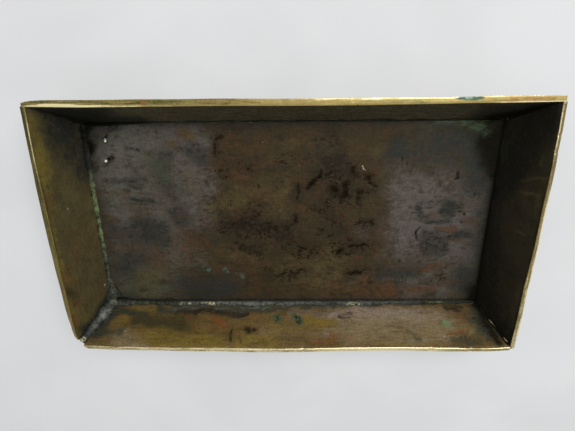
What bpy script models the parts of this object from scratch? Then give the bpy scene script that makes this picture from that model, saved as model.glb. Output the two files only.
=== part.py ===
# A shallow tray of soldered sheet brass with flared walls, lying on its base plate with the mouth up.
# Metres, +Z up, +X along the long side. The origin is under the middle of the base plate.
# The back wall is on +Y and runs full length, the end walls butt against it, and the front wall
# sits between the end walls. Solder beads run along every inside seam.

import math

import bmesh
import bpy
from mathutils import Matrix, Vector
from mathutils.geometry import intersect_line_plane, intersect_plane_plane

# Driving dimensions
RIM_LENGTH = 0.180  # outside, along X
RIM_WIDTH = 0.100  # outside, along Y
HEIGHT = 0.020  # underside of the base plate to the rim
FLARE = math.radians(26.0)  # lean of each wall from upright
PLATE_SHEET = 0.0015  # thickness of the base plate
WALL_SHEET = 0.0015  # thickness of the walls
SEAM_GAP = 0.0003  # room that the solder fills between two pieces
EDGE_WEAR = 0.0002  # rounding of the sheets' worn edges
CORNER_CLIP = 0.0038  # how far the open front left corner is cut back at the rim, along the diagonal

FLOOR_BEAD = {"back": 0.0012, "front": 0.0022, "left": 0.0026, "right": 0.0024}  # bead legs
CORNER_BEAD = {
    ("back", "left"): 0.0020,
    ("back", "right"): 0.0016,
    ("front", "left"): 0.0034,
    ("front", "right"): 0.0018,
}
BEAD_HOLLOW = 0.18  # how far the bead's face bulges out of its corner, as a share of its leg
BEAD_EDGE = 0.0001  # thickness of the bead where it runs out on the sheet
BEAD_STEPS = 6  # facets across the bead's hollow face
BEAD_RIM_SETBACK = 0.0008  # corner beads stop this far below the rim

PIN_RADIUS = 0.0006
PIN_FIT = 0.0002  # radial room of a pin in its hole, filled with solder
PIN_RECESS = 0.0002  # the pins' heads lie this far above the plate's underside
PIN_FROM_LEFT = 0.0084  # pin axis to the left wall's foot
PINS = {  # distance of the axis from the back wall's foot, and length above the plate
    "upper_pin": (0.0055, 0.0030),
    "lower_pin": (0.0139, 0.0040),
}
PIN_SIDES = 24

UP = Vector((0.0, 0.0, 1.0))
SIDES = {
    "back": Vector((0.0, 1.0, 0.0)),
    "front": Vector((0.0, -1.0, 0.0)),
    "left": Vector((-1.0, 0.0, 0.0)),
    "right": Vector((1.0, 0.0, 0.0)),
}
UNDERSIDE = (Vector((0.0, 0.0, 0.0)), -UP)
PLATE_TOP = (Vector((0.0, 0.0, PLATE_SHEET)), UP)
RIM = (Vector((0.0, 0.0, HEIGHT)), UP)


def clear_scene():
    for old in list(bpy.data.objects):
        bpy.data.objects.remove(old, do_unlink=True)


def metal(name, color, roughness):
    material = bpy.data.materials.new(name)
    material.use_nodes = True
    shader = material.node_tree.nodes["Principled BSDF"]
    shader.inputs["Base Color"].default_value = (*color, 1.0)
    shader.inputs["Metallic"].default_value = 1.0
    shader.inputs["Roughness"].default_value = roughness
    return material


# A plane is a point on it and its outward normal.
def moved(plane, distance):
    point, normal = plane
    return point + normal * distance, normal


def turned(plane):
    point, normal = plane
    return point, -normal


def wall_face(side, depth):
    # The plane that lies this deep in the wall of one side, counted from its outer face.
    outward = SIDES[side]
    half = (RIM_LENGTH if outward.x else RIM_WIDTH) / 2
    normal = outward * math.cos(FLARE) - UP * math.sin(FLARE)
    return moved((outward * half + UP * HEIGHT, normal), -depth)


def inner_face(side, clearance=0.0):
    return wall_face(side, WALL_SHEET + clearance)


def meeting_point(first, second, third):
    rows = Matrix([plane[1] for plane in (first, second, third)])
    return rows.inverted() @ Vector([plane[0].dot(plane[1]) for plane in (first, second, third)])


def clip_face():
    # Cuts the front left corner back at the rim, and runs out to nothing at the corner's foot.
    foot = meeting_point(wall_face("front", 0.0), wall_face("left", 0.0), UNDERSIDE)
    tip = meeting_point(wall_face("front", 0.0), wall_face("left", 0.0), RIM)
    diagonal = (SIDES["front"] + SIDES["left"]).normalized()
    along = SIDES["front"] - SIDES["left"]
    normal = (tip - diagonal * CORNER_CLIP - foot).cross(along).normalized()
    return foot, normal if normal.dot(diagonal) > 0 else -normal


def mitre_face(side, neighbour):
    # The end of a floor bead, halfway between the two walls that meet at a corner.
    corner = meeting_point(inner_face(side), inner_face(neighbour), PLATE_TOP)
    return moved((corner, (SIDES[neighbour] - SIDES[side]).normalized()), -SEAM_GAP / 2)


def cut(bm, planes):
    for point, normal in planes:
        everything = bm.verts[:] + bm.edges[:] + bm.faces[:]
        made = bmesh.ops.bisect_plane(
            bm, geom=everything, plane_co=point, plane_no=normal, clear_outer=True
        )
        edges = [item for item in made["geom_cut"] if isinstance(item, bmesh.types.BMEdge)]
        if edges:
            bmesh.ops.edgeloop_fill(bm, edges=edges)
    bmesh.ops.recalc_face_normals(bm, faces=bm.faces[:])


def add_object(name, bm, material):
    mesh = bpy.data.meshes.new(name)
    bm.to_mesh(mesh)
    bm.free()
    mesh.materials.append(material)
    piece = bpy.data.objects.new(name, mesh)
    bpy.context.scene.collection.objects.link(piece)
    return piece


def add_sheet(name, planes, material):
    # A flat sheet is what is left of a block inside all its faces' planes.
    bm = bmesh.new()
    bmesh.ops.create_cube(bm, size=2 * (RIM_LENGTH + RIM_WIDTH + HEIGHT))
    cut(bm, planes)
    piece = add_object(name, bm, material)
    wear = piece.modifiers.new("edge_wear", "BEVEL")
    wear.width = EDGE_WEAR
    wear.segments = 2
    wear.limit_method = "ANGLE"
    return piece


def add_bead(name, ground, other, leg, ends, material, clips=()):
    # A prism with a hollow face in the corner of two sheets, whose normals point into the open.
    start, along = intersect_plane_plane(*ground, *other)
    legs = []
    for plane, facing in ((ground, other), (other, ground)):
        way = plane[1].cross(along).normalized()
        legs.append(way if way.dot(facing[1]) > 0 else -way)
    first, last = start + legs[0] * leg, start + legs[1] * leg
    middle = start + (legs[0] + legs[1]) * leg * BEAD_HOLLOW
    profile = [start, first]
    first, last = first + ground[1] * BEAD_EDGE, last + other[1] * BEAD_EDGE
    for step in range(BEAD_STEPS + 1):
        t = step / BEAD_STEPS
        profile.append(first * (1 - t) ** 2 + middle * 2 * t * (1 - t) + last * t ** 2)
    profile.append(start + legs[1] * leg)
    bm = bmesh.new()
    rings = []
    for end in ends:
        points = [intersect_line_plane(point, point + along, *end) for point in profile]
        rings.append([bm.verts.new(point) for point in points])
    for i in range(len(profile)):
        j = (i + 1) % len(profile)
        bm.faces.new((rings[0][i], rings[0][j], rings[1][j], rings[1][i]))
    for ring in rings:
        bm.faces.new(ring)
    bmesh.ops.recalc_face_normals(bm, faces=bm.faces[:])
    cut(bm, clips)
    return add_object(name, bm, material)


def round_bar(radius, bottom, top):
    bm = bmesh.new()
    bmesh.ops.create_cone(
        bm, cap_ends=True, segments=PIN_SIDES, radius1=radius, radius2=radius, depth=top - bottom
    )
    bmesh.ops.translate(bm, verts=bm.verts, vec=UP * (top + bottom) / 2)
    return bm


def add_walls(material):
    clip = clip_face()
    ends = {
        "back": [wall_face("left", 0.0), wall_face("right", 0.0)],
        "front": [inner_face("left", SEAM_GAP), inner_face("right", SEAM_GAP), clip],
        "left": [inner_face("back", SEAM_GAP), wall_face("front", 0.0), clip],
        "right": [inner_face("back", SEAM_GAP), wall_face("front", 0.0)],
    }
    names = {"back": "back_wall", "front": "front_wall", "left": "left_end_wall", "right": "right_end_wall"}
    for side, name in names.items():
        faces = [wall_face(side, 0.0), turned(inner_face(side)), UNDERSIDE, RIM]
        add_sheet(name, faces + ends[side], material)


def add_base_plate(material):
    edges = [inner_face(side, SEAM_GAP) for side in SIDES]
    return add_sheet("base_plate", [UNDERSIDE, PLATE_TOP] + edges, material)


def add_floor_beads(material):
    ground = moved(PLATE_TOP, SEAM_GAP)
    neighbours = {"back": ("left", "right"), "left": ("front", "back")}
    neighbours.update({"front": neighbours["back"], "right": neighbours["left"]})
    for side, leg in FLOOR_BEAD.items():
        wall = turned(inner_face(side, SEAM_GAP))
        ends = [mitre_face(side, neighbour) for neighbour in neighbours[side]]
        add_bead(f"{side}_floor_solder", ground, wall, leg, ends, material)


def add_corner_beads(material):
    for (long_side, end_side), leg in CORNER_BEAD.items():
        walls = [turned(inner_face(side, SEAM_GAP)) for side in (long_side, end_side)]
        below = max(FLOOR_BEAD[long_side], FLOOR_BEAD[end_side])
        ends = [moved(PLATE_TOP, below + 2 * SEAM_GAP), moved(RIM, -BEAD_RIM_SETBACK)]
        clips = [clip_face()] if (long_side, end_side) == ("front", "left") else []
        add_bead(f"{long_side}_{end_side}_corner_solder", *walls, leg, ends, material, clips)


def add_pins(plate, material):
    corner = meeting_point(inner_face("back"), inner_face("left"), PLATE_TOP)
    for name, (from_back, proud) in PINS.items():
        place = Vector((corner.x + PIN_FROM_LEFT, corner.y - from_back, 0.0))
        pin = add_object(name, round_bar(PIN_RADIUS, PIN_RECESS, PLATE_SHEET + proud), material)
        pin.location = place
        pin.data.shade_smooth()
        pin.data.set_sharp_from_angle(angle=math.radians(40))
        through = round_bar(PIN_RADIUS + PIN_FIT, -PLATE_SHEET, 2 * PLATE_SHEET)
        cutter = add_object(name + "_hole", through, material)
        cutter.location = place
        cutter.hide_render = True
        cutter.display_type = "WIRE"
        hole = plate.modifiers.new(name + "_hole", "BOOLEAN")
        hole.object = cutter
        hole.operation = "DIFFERENCE"


def build():
    clear_scene()
    plate_brass = metal("plate_brass", (0.16, 0.11, 0.075), 0.5)
    wall_brass = metal("wall_brass", (0.30, 0.21, 0.09), 0.45)
    solder = metal("solder", (0.20, 0.21, 0.19), 0.6)
    pin_metal = metal("pin_metal", (0.55, 0.54, 0.50), 0.35)
    plate = add_base_plate(plate_brass)
    add_walls(wall_brass)
    add_floor_beads(solder)
    add_corner_beads(solder)
    add_pins(plate, pin_metal)


build()
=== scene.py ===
import math

import bpy
import numpy as np
from mathutils import Matrix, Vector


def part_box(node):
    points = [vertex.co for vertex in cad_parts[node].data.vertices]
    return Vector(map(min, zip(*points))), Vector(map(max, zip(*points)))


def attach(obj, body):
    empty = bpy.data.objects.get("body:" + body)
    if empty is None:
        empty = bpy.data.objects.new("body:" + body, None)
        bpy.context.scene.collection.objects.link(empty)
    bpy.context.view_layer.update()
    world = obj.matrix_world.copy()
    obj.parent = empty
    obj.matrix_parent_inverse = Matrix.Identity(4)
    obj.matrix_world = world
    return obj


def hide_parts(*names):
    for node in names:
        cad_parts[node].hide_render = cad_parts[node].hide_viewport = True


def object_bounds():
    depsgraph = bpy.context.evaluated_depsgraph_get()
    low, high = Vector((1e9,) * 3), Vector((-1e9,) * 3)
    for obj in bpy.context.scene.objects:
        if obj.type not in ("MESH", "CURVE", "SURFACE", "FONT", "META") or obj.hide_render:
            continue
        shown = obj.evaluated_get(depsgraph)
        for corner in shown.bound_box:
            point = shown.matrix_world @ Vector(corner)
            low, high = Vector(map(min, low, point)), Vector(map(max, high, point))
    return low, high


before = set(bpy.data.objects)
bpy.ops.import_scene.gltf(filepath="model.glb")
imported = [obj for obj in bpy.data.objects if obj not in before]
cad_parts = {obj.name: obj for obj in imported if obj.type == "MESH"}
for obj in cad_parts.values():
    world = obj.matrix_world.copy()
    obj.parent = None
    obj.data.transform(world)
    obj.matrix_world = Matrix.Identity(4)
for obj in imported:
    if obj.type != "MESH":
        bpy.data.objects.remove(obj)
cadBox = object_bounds()
print("frame loaded:", len(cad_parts), "nodes")

# The tray lies on its base plate with its mouth up: x along it, y from the front wall to the back wall.
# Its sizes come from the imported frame; only the walls' lean and the cut corner are written here.
mm = 0.001
flare = math.radians(26.0)
halfX, halfY, rimZ = cadBox[1]
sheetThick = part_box("base_plate")[1].z
rimWide = sheetThick / math.cos(flare)      # width of the rim's flat face
clipRim = 0.0038                            # how far the front left corner is cut back at the rim
clipFoot = 0.0105                           # height at which that cut begins


def eased(t):
    # the cubic that leaves 0 and reaches 1 with no slope
    return t * t * (3.0 - 2.0 * t)


def easeStep(low, high, x):
    # smooth step: 0 below low, 1 above high, eased between
    return eased(np.clip((x - low) / (high - low), 0.0, 1.0))


def easeAlong(stops, x):
    # a value along a piece: stops are (place, value), eased from each to the next
    places, values = np.array(stops, float).T
    i = np.clip(np.searchsorted(places, x, "right") - 1, 0, len(places) - 2)
    step = np.clip((x - places[i]) / (places[i + 1] - places[i]), 0.0, 1.0)
    return values[i] + (values[i + 1] - values[i]) * eased(step)


def softNoise(x, y, cell, seed, lattice=64):
    # value noise: seeded heights on a square lattice of this cell, eased between neighbours, -1 to 1
    heights = np.random.default_rng(seed).uniform(-1.0, 1.0, (lattice, lattice))
    gx, gy = x / cell + 10 * lattice, y / cell + 10 * lattice
    ix, iy = np.floor(gx).astype(int), np.floor(gy).astype(int)
    fx, fy = eased(gx - ix), eased(gy - iy)
    left, right, low, high = ix % lattice, (ix + 1) % lattice, iy % lattice, (iy + 1) % lattice
    near = heights[left, low] * (1 - fx) + heights[right, low] * fx
    far = heights[left, high] * (1 - fx) + heights[right, high] * fx
    return near * (1 - fy) + far * fy


def paintMarks(x, y, marks):
    # soft strokes laid over each other: each is (width, strength, x, y, x, y ...) in millimetres, full along
    # the line through its points and fading over its width as a bell curve
    clear = np.ones_like(x)
    for width, strength, *route in marks:
        route = np.reshape(route, (-1, 2)) * mm
        away = np.full(x.shape, np.inf)
        for (startX, startY), (endX, endY) in zip(route, route[1:] if len(route) > 1 else route):
            runX, runY = endX - startX, endY - startY
            t = ((x - startX) * runX + (y - startY) * runY) / max(runX ** 2 + runY ** 2, 1e-12)
            t = np.clip(t, 0, 1)
            away = np.minimum(away, np.hypot(x - startX - t * runX, y - startY - t * runY))
        clear *= 1 - strength * np.exp(-(away / (width * mm)) ** 2)
    return 1 - clear


# Stain layers from the lowest to the highest, slate and soot also holding painted shade in corners and along
# seams: how strongly patchy and fine noise break them up, and the strengths between which they go from clear
# to full.
patinaOrder = {
    "haze": (1.6, 1.0, 0.0, 1.0), "film": (1.6, 1.0, 0.0, 1.0), "gold": (2.2, 1.6, 0.0, 1.0),
    "rust": (2.6, 2.6, 0.05, 1.05), "slateAndShade": (1.8, 2.0, 0.0, 1.0), "tin": (1.6, 3.6, 0.25, 1.1),
    "smoke": (2.0, 2.4, 0.05, 1.0), "sootAndShade": (0.4, 0.3, 0.05, 1.0), "moss": (1.6, 1.2, 0.0, 1.0),
    "pit": (1.0, 2.2, 0.03, 0.92),
}
# these lie over bare metal too; glint is bright scratches with painted highlights on them
specks = {"umber": (1.6, 3.0, 0.1, 1.0), "green": (1.0, 2.6, 0.15, 0.95), "mint": (0.4, 0.8, 0.1, 0.9),
          "glint": (0.0, 0.4, 0.1, 0.9)}
# warps are (cell, reach) in millimetres; a pit's strength is pitLevel, give or take pitSwing; each noise's
# seed is added to the surface's own
raggedness = {"warps": ((6.0, 1.0), (2.2, 0.6), (0.9, 0.35)), "pitCell": 1.7, "pitLevel": 0.8,
              "pitSwing": 0.6, "sidewaysSeed": 0, "upwardSeed": 5, "pitSeed": 9}


def warpField(x, y, seed):
    # how far each point is pushed, as the sum of noises of several sizes
    waves = enumerate(raggedness["warps"])
    return sum(softNoise(x, y, cell * mm, seed + i) * reach * mm for i, (cell, reach) in waves)


def patinaLayers(x, y, marks, seed, ragged=1.0):
    # every stain layer of a surface, its strokes made ragged by the warps and its pits broken up
    moveX = warpField(x, y, seed + raggedness["sidewaysSeed"])
    moveY = warpField(x, y, seed + raggedness["upwardSeed"])
    x, y = x + ragged * moveX, y + ragged * moveY
    layers = {key: paintMarks(x, y, strokes) for key, strokes in marks.items()}
    if "pit" in layers:
        swing = softNoise(x, y, raggedness["pitCell"] * mm, seed + raggedness["pitSeed"])
        depth = raggedness["pitLevel"] + raggedness["pitSwing"] * swing
        layers["pit"] = layers["pit"] * np.clip(depth, 0, 1)
    return layers


def blockSkin(us, vs, ws):
    # the skin of a block cut at these parameter values: its points as u, v, w, and its quads
    stops = (np.asarray(us), np.asarray(vs), np.asarray(ws))
    cells = []
    for axis in range(3):
        a, b = (axis + 1) % 3, (axis + 2) % 3
        i, j = np.meshgrid(np.arange(len(stops[a]) - 1), np.arange(len(stops[b]) - 1), indexing="ij")
        i, j = i.ravel(), j.ravel()
        for side in (0, len(stops[axis]) - 1):
            quad = np.full((i.size, 4, 3), side)
            quad[:, :, a] = np.stack([i, i + 1, i + 1, i], 1)
            quad[:, :, b] = np.stack([j, j, j + 1, j + 1], 1)
            cells.append(quad if side else quad[:, ::-1])
    cells = np.concatenate(cells)
    sizes = [len(s) for s in stops]
    keys = (cells[..., 0] * sizes[1] + cells[..., 1]) * sizes[2] + cells[..., 2]
    used, faces = np.unique(keys, return_inverse=True)
    u = stops[0][used // (sizes[1] * sizes[2])]
    v = stops[1][used // sizes[2] % sizes[1]]
    w = stops[2][used % sizes[2]]
    return u, v, w, faces.reshape(-1, 4)


def gridQuads(rows):
    # the quads between neighbouring rows of point numbers, each row a closed ring
    beside = np.roll(rows, -1, axis=1)
    return np.stack([rows[:-1], beside[:-1], beside[1:], rows[1:]], -1).reshape(-1, 4)


def facingOut(points, faces):
    # turns every quad round if the shape was mapped inside out, by the sign of its volume
    a, b, c, d = (points[faces[:, k]] for k in range(4))
    volume = np.einsum("ij,ij->i", a, np.cross(b, c)) + np.einsum("ij,ij->i", a, np.cross(c, d))
    return faces if volume.sum() > 0 else faces[:, ::-1]


def makePiece(name, points, faces, layers, replaced, material):
    # puts points, faces and named point layers into a mesh that rides on the tray
    mesh = bpy.data.meshes.new(name)
    mesh.from_pydata(points, [], faces)
    mesh.polygons.foreach_set("use_smooth", np.ones(len(mesh.polygons), bool))
    for layer, values in layers.items():
        made = mesh.attributes.new(layer, "FLOAT", "POINT")
        made.data.foreach_set("value", np.ascontiguousarray(values, np.float32))
    mesh.materials.append(material)
    piece = bpy.data.objects.new(name, mesh)
    bpy.context.scene.collection.objects.link(piece)
    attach(piece, "root")
    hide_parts(replaced)
    return piece


# Materials

def shade(red, green, blue):
    # a screen colour, 0 to 255, as the shader's linear colour, by the sRGB curve
    c = np.array([red, green, blue]) / 255
    linear = np.where(c <= 0.04045, c / 12.92, ((c + 0.055) / 1.055) ** 2.4)
    return (*linear.tolist(), 1.0)


def addNode(tree, kind, inputs=(), **settings):
    # a node with its settings, and with its sockets linked or set
    made = tree.nodes.new(kind)
    for key, value in settings.items():
        setattr(made, key, value)
    for socket, value in dict(inputs).items():
        if isinstance(value, bpy.types.NodeSocket):
            tree.links.new(value, made.inputs[socket])
        else:
            made.inputs[socket].default_value = value
    return made


def noiseField(tree, coords, size, seed, detail):
    # fractal noise, about 0.3 to 0.7, whose blobs are this many millimetres wide
    inputs = {"Vector": coords, "W": seed, "Scale": 1 / (size * mm), "Detail": detail, "Roughness": 0.6,
              "Distortion": 0.5}
    return addNode(tree, "ShaderNodeTexNoise", inputs, noise_dimensions="4D").outputs["Fac"]


def ramp(tree, value, low, high, start=0.0, end=1.0):
    # smooth step of a value from low to high, sent to start and end
    inputs = {"Value": value, "From Min": low, "From Max": high, "To Min": start, "To Max": end}
    return addNode(tree, "ShaderNodeMapRange", inputs, interpolation_type="SMOOTHSTEP").outputs["Result"]


def calc(tree, operation, a, b=0.0, c=0.0):
    # one sum on up to three values, such as a times b plus c
    return addNode(tree, "ShaderNodeMath", {0: a, 1: b, 2: c}, operation=operation).outputs[0]


def weighed(tree, noise, shares, total=0.0):
    # noises added up, each times its share
    for key, share in shares.items():
        total = calc(tree, "MULTIPLY_ADD", noise[key], share, total)
    return total


def mixColor(tree, factor, a, b, blend="MIX"):
    # colour a where the factor is 0, colour b where it is 1
    inputs = {0: factor, 6: a, 7: b}
    return addNode(tree, "ShaderNodeMix", inputs, data_type="RGBA", blend_type=blend).outputs[2]


def mixValue(tree, factor, a, b):
    # number a where the factor is 0, number b where it is 1
    return addNode(tree, "ShaderNodeMix", {0: factor, 2: a, 3: b}, data_type="FLOAT").outputs[0]


def tinted(tree, color, amount, tone):
    # a colour with this amount of a screen tone laid over it
    return mixColor(tree, amount, color, shade(*tone))


def layerValue(tree, layer):
    # a point layer of the piece, 0 where the piece has none of that name
    return addNode(tree, "ShaderNodeAttribute", attribute_name=layer).outputs["Fac"]


def addBump(tree, shader, height, strength, distance):
    # bumps the shader by a height times this distance in millimetres, as strongly as this
    inputs = {"Height": height, "Strength": strength, "Distance": distance * mm}
    bump = addNode(tree, "ShaderNodeBump", inputs)
    tree.links.new(bump.outputs["Normal"], shader.inputs["Normal"])


def newMaterial(name):
    # a material, its nodes, its shader and the piece's own coordinates
    material = bpy.data.materials.new(name)
    material.use_nodes = True
    tree = material.node_tree
    coords = addNode(tree, "ShaderNodeTexCoord").outputs["Object"]
    return material, tree, tree.nodes["Principled BSDF"], coords


def stained(tree, color, look, layers, used, patch, fine):
    # the colour of each layer in use over what lies below it, its strength times 1 plus the noises' stir
    for layer in (key for key in layers if key in used):
        patchStir, fineStir, clear, full = layers[layer]
        patchStir, fineStir = patchStir * look["stir"], fineStir * look["stir"]
        stir = calc(tree, "MULTIPLY_ADD", patch, 2 * patchStir, 1 - patchStir - fineStir)
        stir = calc(tree, "MULTIPLY_ADD", fine, 2 * fineStir, stir)
        amount = calc(tree, "MULTIPLY", layerValue(tree, layer), stir)
        color = tinted(tree, color, ramp(tree, amount, clear, full), look[layer])
    return color


# The brass's noises: width in millimetres, seed, detail, and which of the look's scales draws them out.
brassNoise = {
    "broad": (13.0, 1.0, 4.0, None), "patch": (3.6, 2.0, 4.0, "drawn"), "mottle": (4.4, 7.0, 4.0, "drawn"),
    "fine": (1.4, 3.0, 5.0, "drawn"), "brushed": (1.0, 4.0, 3.0, "brush"),
    "crossed": (1.0, 12.0, 3.0, "cross"), "streaks": (0.8, 5.0, 3.0, "rimBrush"),
    "lines": (4.5, 21.0, 3.0, None), "dots": (1.2, 22.0, 2.0, None), "grit": (0.6, 11.0, 3.0, None),
}
# Where each tone begins and is full, on its noise, layer or height, and how strong it is at both where that
# isn't 0 and 1.
brassLevels = {
    "olive": (0.4, 0.6), "warm": (0.47, 0.66), "cool": (0.5, 0.32), "wear": (0.39, 0.61),
    "rough": (0.35, 0.65), "etchLine": (0.07, 0.0), "etchBreak": (0.42, 0.56), "etchDot": (0.56, 0.66),
    "etched": (0.1, 0.9), "outsideLight": (0.36, 0.64), "outsideStain": (0.48, 0.7, 0.0, 0.55),
    "footHeight": (8 * mm, 0.0), "footPatch": (0.36, 0.56, 0.35, 1.0),
    "rubbedHeight": (14 * mm, 20 * mm), "rubbedPatch": (0.4, 0.6, 0.1, 0.8),
    "rimDull": (0.0, 0.5), "rimBrightAndHighlight": (0.5, 1.0), "bare": (0.3, 0.7), "dark": (0.1, 0.8),
}
# how much of each noise goes into the fine wear, the rim's worn shine with its painted highlight, and the
# bump
brassShares = {
    "wear": {"fine": 0.18, "brushed": 0.22, "crossed": 0.2, "grit": 0.4},
    "polishAndHighlight": {"streaks": 0.9, "grit": 0.6}, "height": {"fine": 0.3, "patch": 0.6},
}
brassShared = {
    "blotch": 0.6, "grain": 0.25, "stir": 1.0, "drawn": (0.7, 1.2, 1.0), "brush": (0.25, 1.4, 1.0),
    "cross": (1.6, 0.3, 1.0), "haze": (87, 80, 75), "film": (85, 82, 74), "gold": (80, 69, 40),
    "rust": (80, 55, 35), "slateAndShade": (43, 44, 39), "smoke": (36, 29, 20), "sootAndShade": (27, 26, 20),
    "moss": (62, 72, 55), "pit": (29, 22, 12), "etch": (34, 27, 17), "glint": (205, 200, 184),
    "metallic": 0.4, "rough": (0.46, 0.62), "outsideDark": (84, 69, 41), "outsideLight": (106, 89, 52),
    "outsideStain": (62, 52, 36), "outsideRubbed": (138, 116, 68), "rimTarnish": (69, 67, 38),
    "rimDull": (134, 118, 71), "rimBrightAndHighlight": (250, 236, 188), "rimBrush": (0.1, 1.0, 1.0), "specular": 0.25,
    "rimMetallic": 0.5, "rimRough": 0.38, "pitDull": 0.8, "pitSink": -0.5, "bump": (0.35, 0.15),
}


def insideBrass(tree, look, noise, marks):
    # brown bronze patina, blotched warm and cool, under the painted stains
    olive = ramp(tree, noise["broad"], *brassLevels["olive"])
    warm = ramp(tree, noise["mottle"], *brassLevels["warm"], 0.0, look["blotch"])
    cool = ramp(tree, noise["patch"], *brassLevels["cool"], 0.0, look["blotch"])
    color = tinted(tree, shade(*look["brown"]), olive, look["olive"])
    color = tinted(tree, color, warm, look["warm"])
    color = tinted(tree, color, cool, look["cool"])
    return stained(tree, color, look, patinaOrder, marks, noise["patch"], noise["fine"])


def etchedPlaces(tree, noise):
    # thin lines along the middle level of one noise, and dots on the peaks of another
    level = calc(tree, "ABSOLUTE", calc(tree, "SUBTRACT", noise["lines"], 0.5))
    broken = ramp(tree, noise["mottle"], *brassLevels["etchBreak"])
    lines = calc(tree, "MULTIPLY", ramp(tree, level, *brassLevels["etchLine"]), broken)
    dots = ramp(tree, noise["dots"], *brassLevels["etchDot"])
    return calc(tree, "MULTIPLY", layerValue(tree, "etch"), calc(tree, "MAXIMUM", lines, dots))


def outsideBrass(tree, look, noise, coords):
    # broad brown and gold, stained towards the foot and rubbed bright below the rim
    high = addNode(tree, "ShaderNodeSeparateXYZ", {0: coords}).outputs["Z"]
    light = ramp(tree, noise["broad"], *brassLevels["outsideLight"])
    color = tinted(tree, shade(*look["outsideDark"]), light, look["outsideLight"])
    stain = ramp(tree, noise["mottle"], *brassLevels["outsideStain"])
    color = tinted(tree, color, stain, look["outsideStain"])
    for part, grain, tone in (("foot", "patch", "outsideStain"), ("rubbed", "fine", "outsideRubbed")):
        patchy = ramp(tree, noise[grain], *brassLevels[part + "Patch"])
        amount = calc(tree, "MULTIPLY", ramp(tree, high, *brassLevels[part + "Height"]), patchy)
        color = tinted(tree, color, amount, look[tone])
    return color


def rimBrass(tree, look, noise):
    # tarnished, dull or bright by its worn shine and painted highlight: the painted layer plus shares of
    # noises that lie round a half
    shares = brassShares["polishAndHighlight"]
    painted = calc(tree, "SUBTRACT", layerValue(tree, "polishAndHighlight"), 0.5 * sum(shares.values()))
    polishAndHighlight = weighed(tree, noise, shares, painted)
    dull, bright = (ramp(tree, polishAndHighlight, *brassLevels[key]) for key in ("rimDull", "rimBrightAndHighlight"))
    color = tinted(tree, shade(*look["rimTarnish"]), dull, look["rimDull"])
    return tinted(tree, color, bright, look["rimBrightAndHighlight"])


def agedBrass(name, look, marks):
    # patina inside, plainer brass outside, both finely worn, and bare metal at the rim with a painted
    # highlight on it
    material, tree, shader, coords = newMaterial(name)
    noise = {}
    for key, (size, seed, detail, scale) in brassNoise.items():
        place = coords
        if scale:
            place = addNode(tree, "ShaderNodeMapping", {"Vector": coords, "Scale": look[scale]}).outputs[0]
        noise[key] = noiseField(tree, place, size, seed, detail)
    inside, outside = insideBrass(tree, look, noise, marks), outsideBrass(tree, look, noise, coords)
    color = mixColor(tree, layerValue(tree, "inside"), outside, inside)
    wear = weighed(tree, noise, brassShares["wear"])
    wear = ramp(tree, wear, *brassLevels["wear"], 1 - look["grain"], 1 + look["grain"])
    wear = addNode(tree, "ShaderNodeCombineColor", {0: wear, 1: wear, 2: wear}).outputs[0]
    color = mixColor(tree, 1.0, color, wear, "MULTIPLY")
    bare = ramp(tree, layerValue(tree, "bare"), *brassLevels["bare"])
    color = mixColor(tree, bare, color, rimBrass(tree, look, noise))
    color = stained(tree, color, look, specks, marks, noise["patch"], noise["fine"])
    etched = etchedPlaces(tree, noise)
    color = tinted(tree, color, ramp(tree, etched, *brassLevels["etched"]), look["etch"])
    tree.links.new(color, shader.inputs["Base Color"])
    shader.inputs["Specular IOR Level"].default_value = look["specular"]
    # the sooty and shaded places, pits and etching have no sheen
    pits = layerValue(tree, "pit")
    dark = calc(tree, "MAXIMUM", layerValue(tree, "sootAndShade"), calc(tree, "MULTIPLY", pits, look["pitDull"]))
    dark = calc(tree, "MAXIMUM", dark, etched)
    metal = mixValue(tree, ramp(tree, dark, *brassLevels["dark"]), look["metallic"], 1.0)
    tree.links.new(mixValue(tree, bare, metal, look["rimMetallic"]), shader.inputs["Metallic"])
    rough = ramp(tree, noise["patch"], *brassLevels["rough"], *look["rough"])
    tree.links.new(mixValue(tree, bare, rough, look["rimRough"]), shader.inputs["Roughness"])
    height = weighed(tree, noise, brassShares["height"])
    sunken = calc(tree, "MAXIMUM", pits, etched)
    addBump(tree, shader, calc(tree, "MULTIPLY_ADD", sunken, look["pitSink"], height), *look["bump"])
    return material


# Base plate

plateLook = dict(brassShared, brown=(56, 45, 27), olive=(60, 50, 30), warm=(72, 50, 29), cool=(43, 41, 30),
                 blotch=0.68, green=(70, 92, 75))
# sizes in millimetres; rolling is (height, cell, seed) of each wave, flatEdge is where the waves begin
plateShape = {"countX": 400, "countY": 200, "footGap": 0.2, "seed": 61, "pitDepth": 0.12, "flatEdge": 4,
              "rolling": ((0.10, 24, 31), (0.05, 7, 32))}
# how far the dirt and painted shade along each edge reach, and how dark they are, for their pale and their
# dark part
plateEdgeShadeAndDirt = {"left": (3.5, 0.6, 1.0, 0.35), "right": (6.5, 0.9, 1.8, 0.75), "front": (2.0, 0.7, 0.8, 0.9),
              "back": (2.0, 0.7, 0.6, 0.5)}
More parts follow.
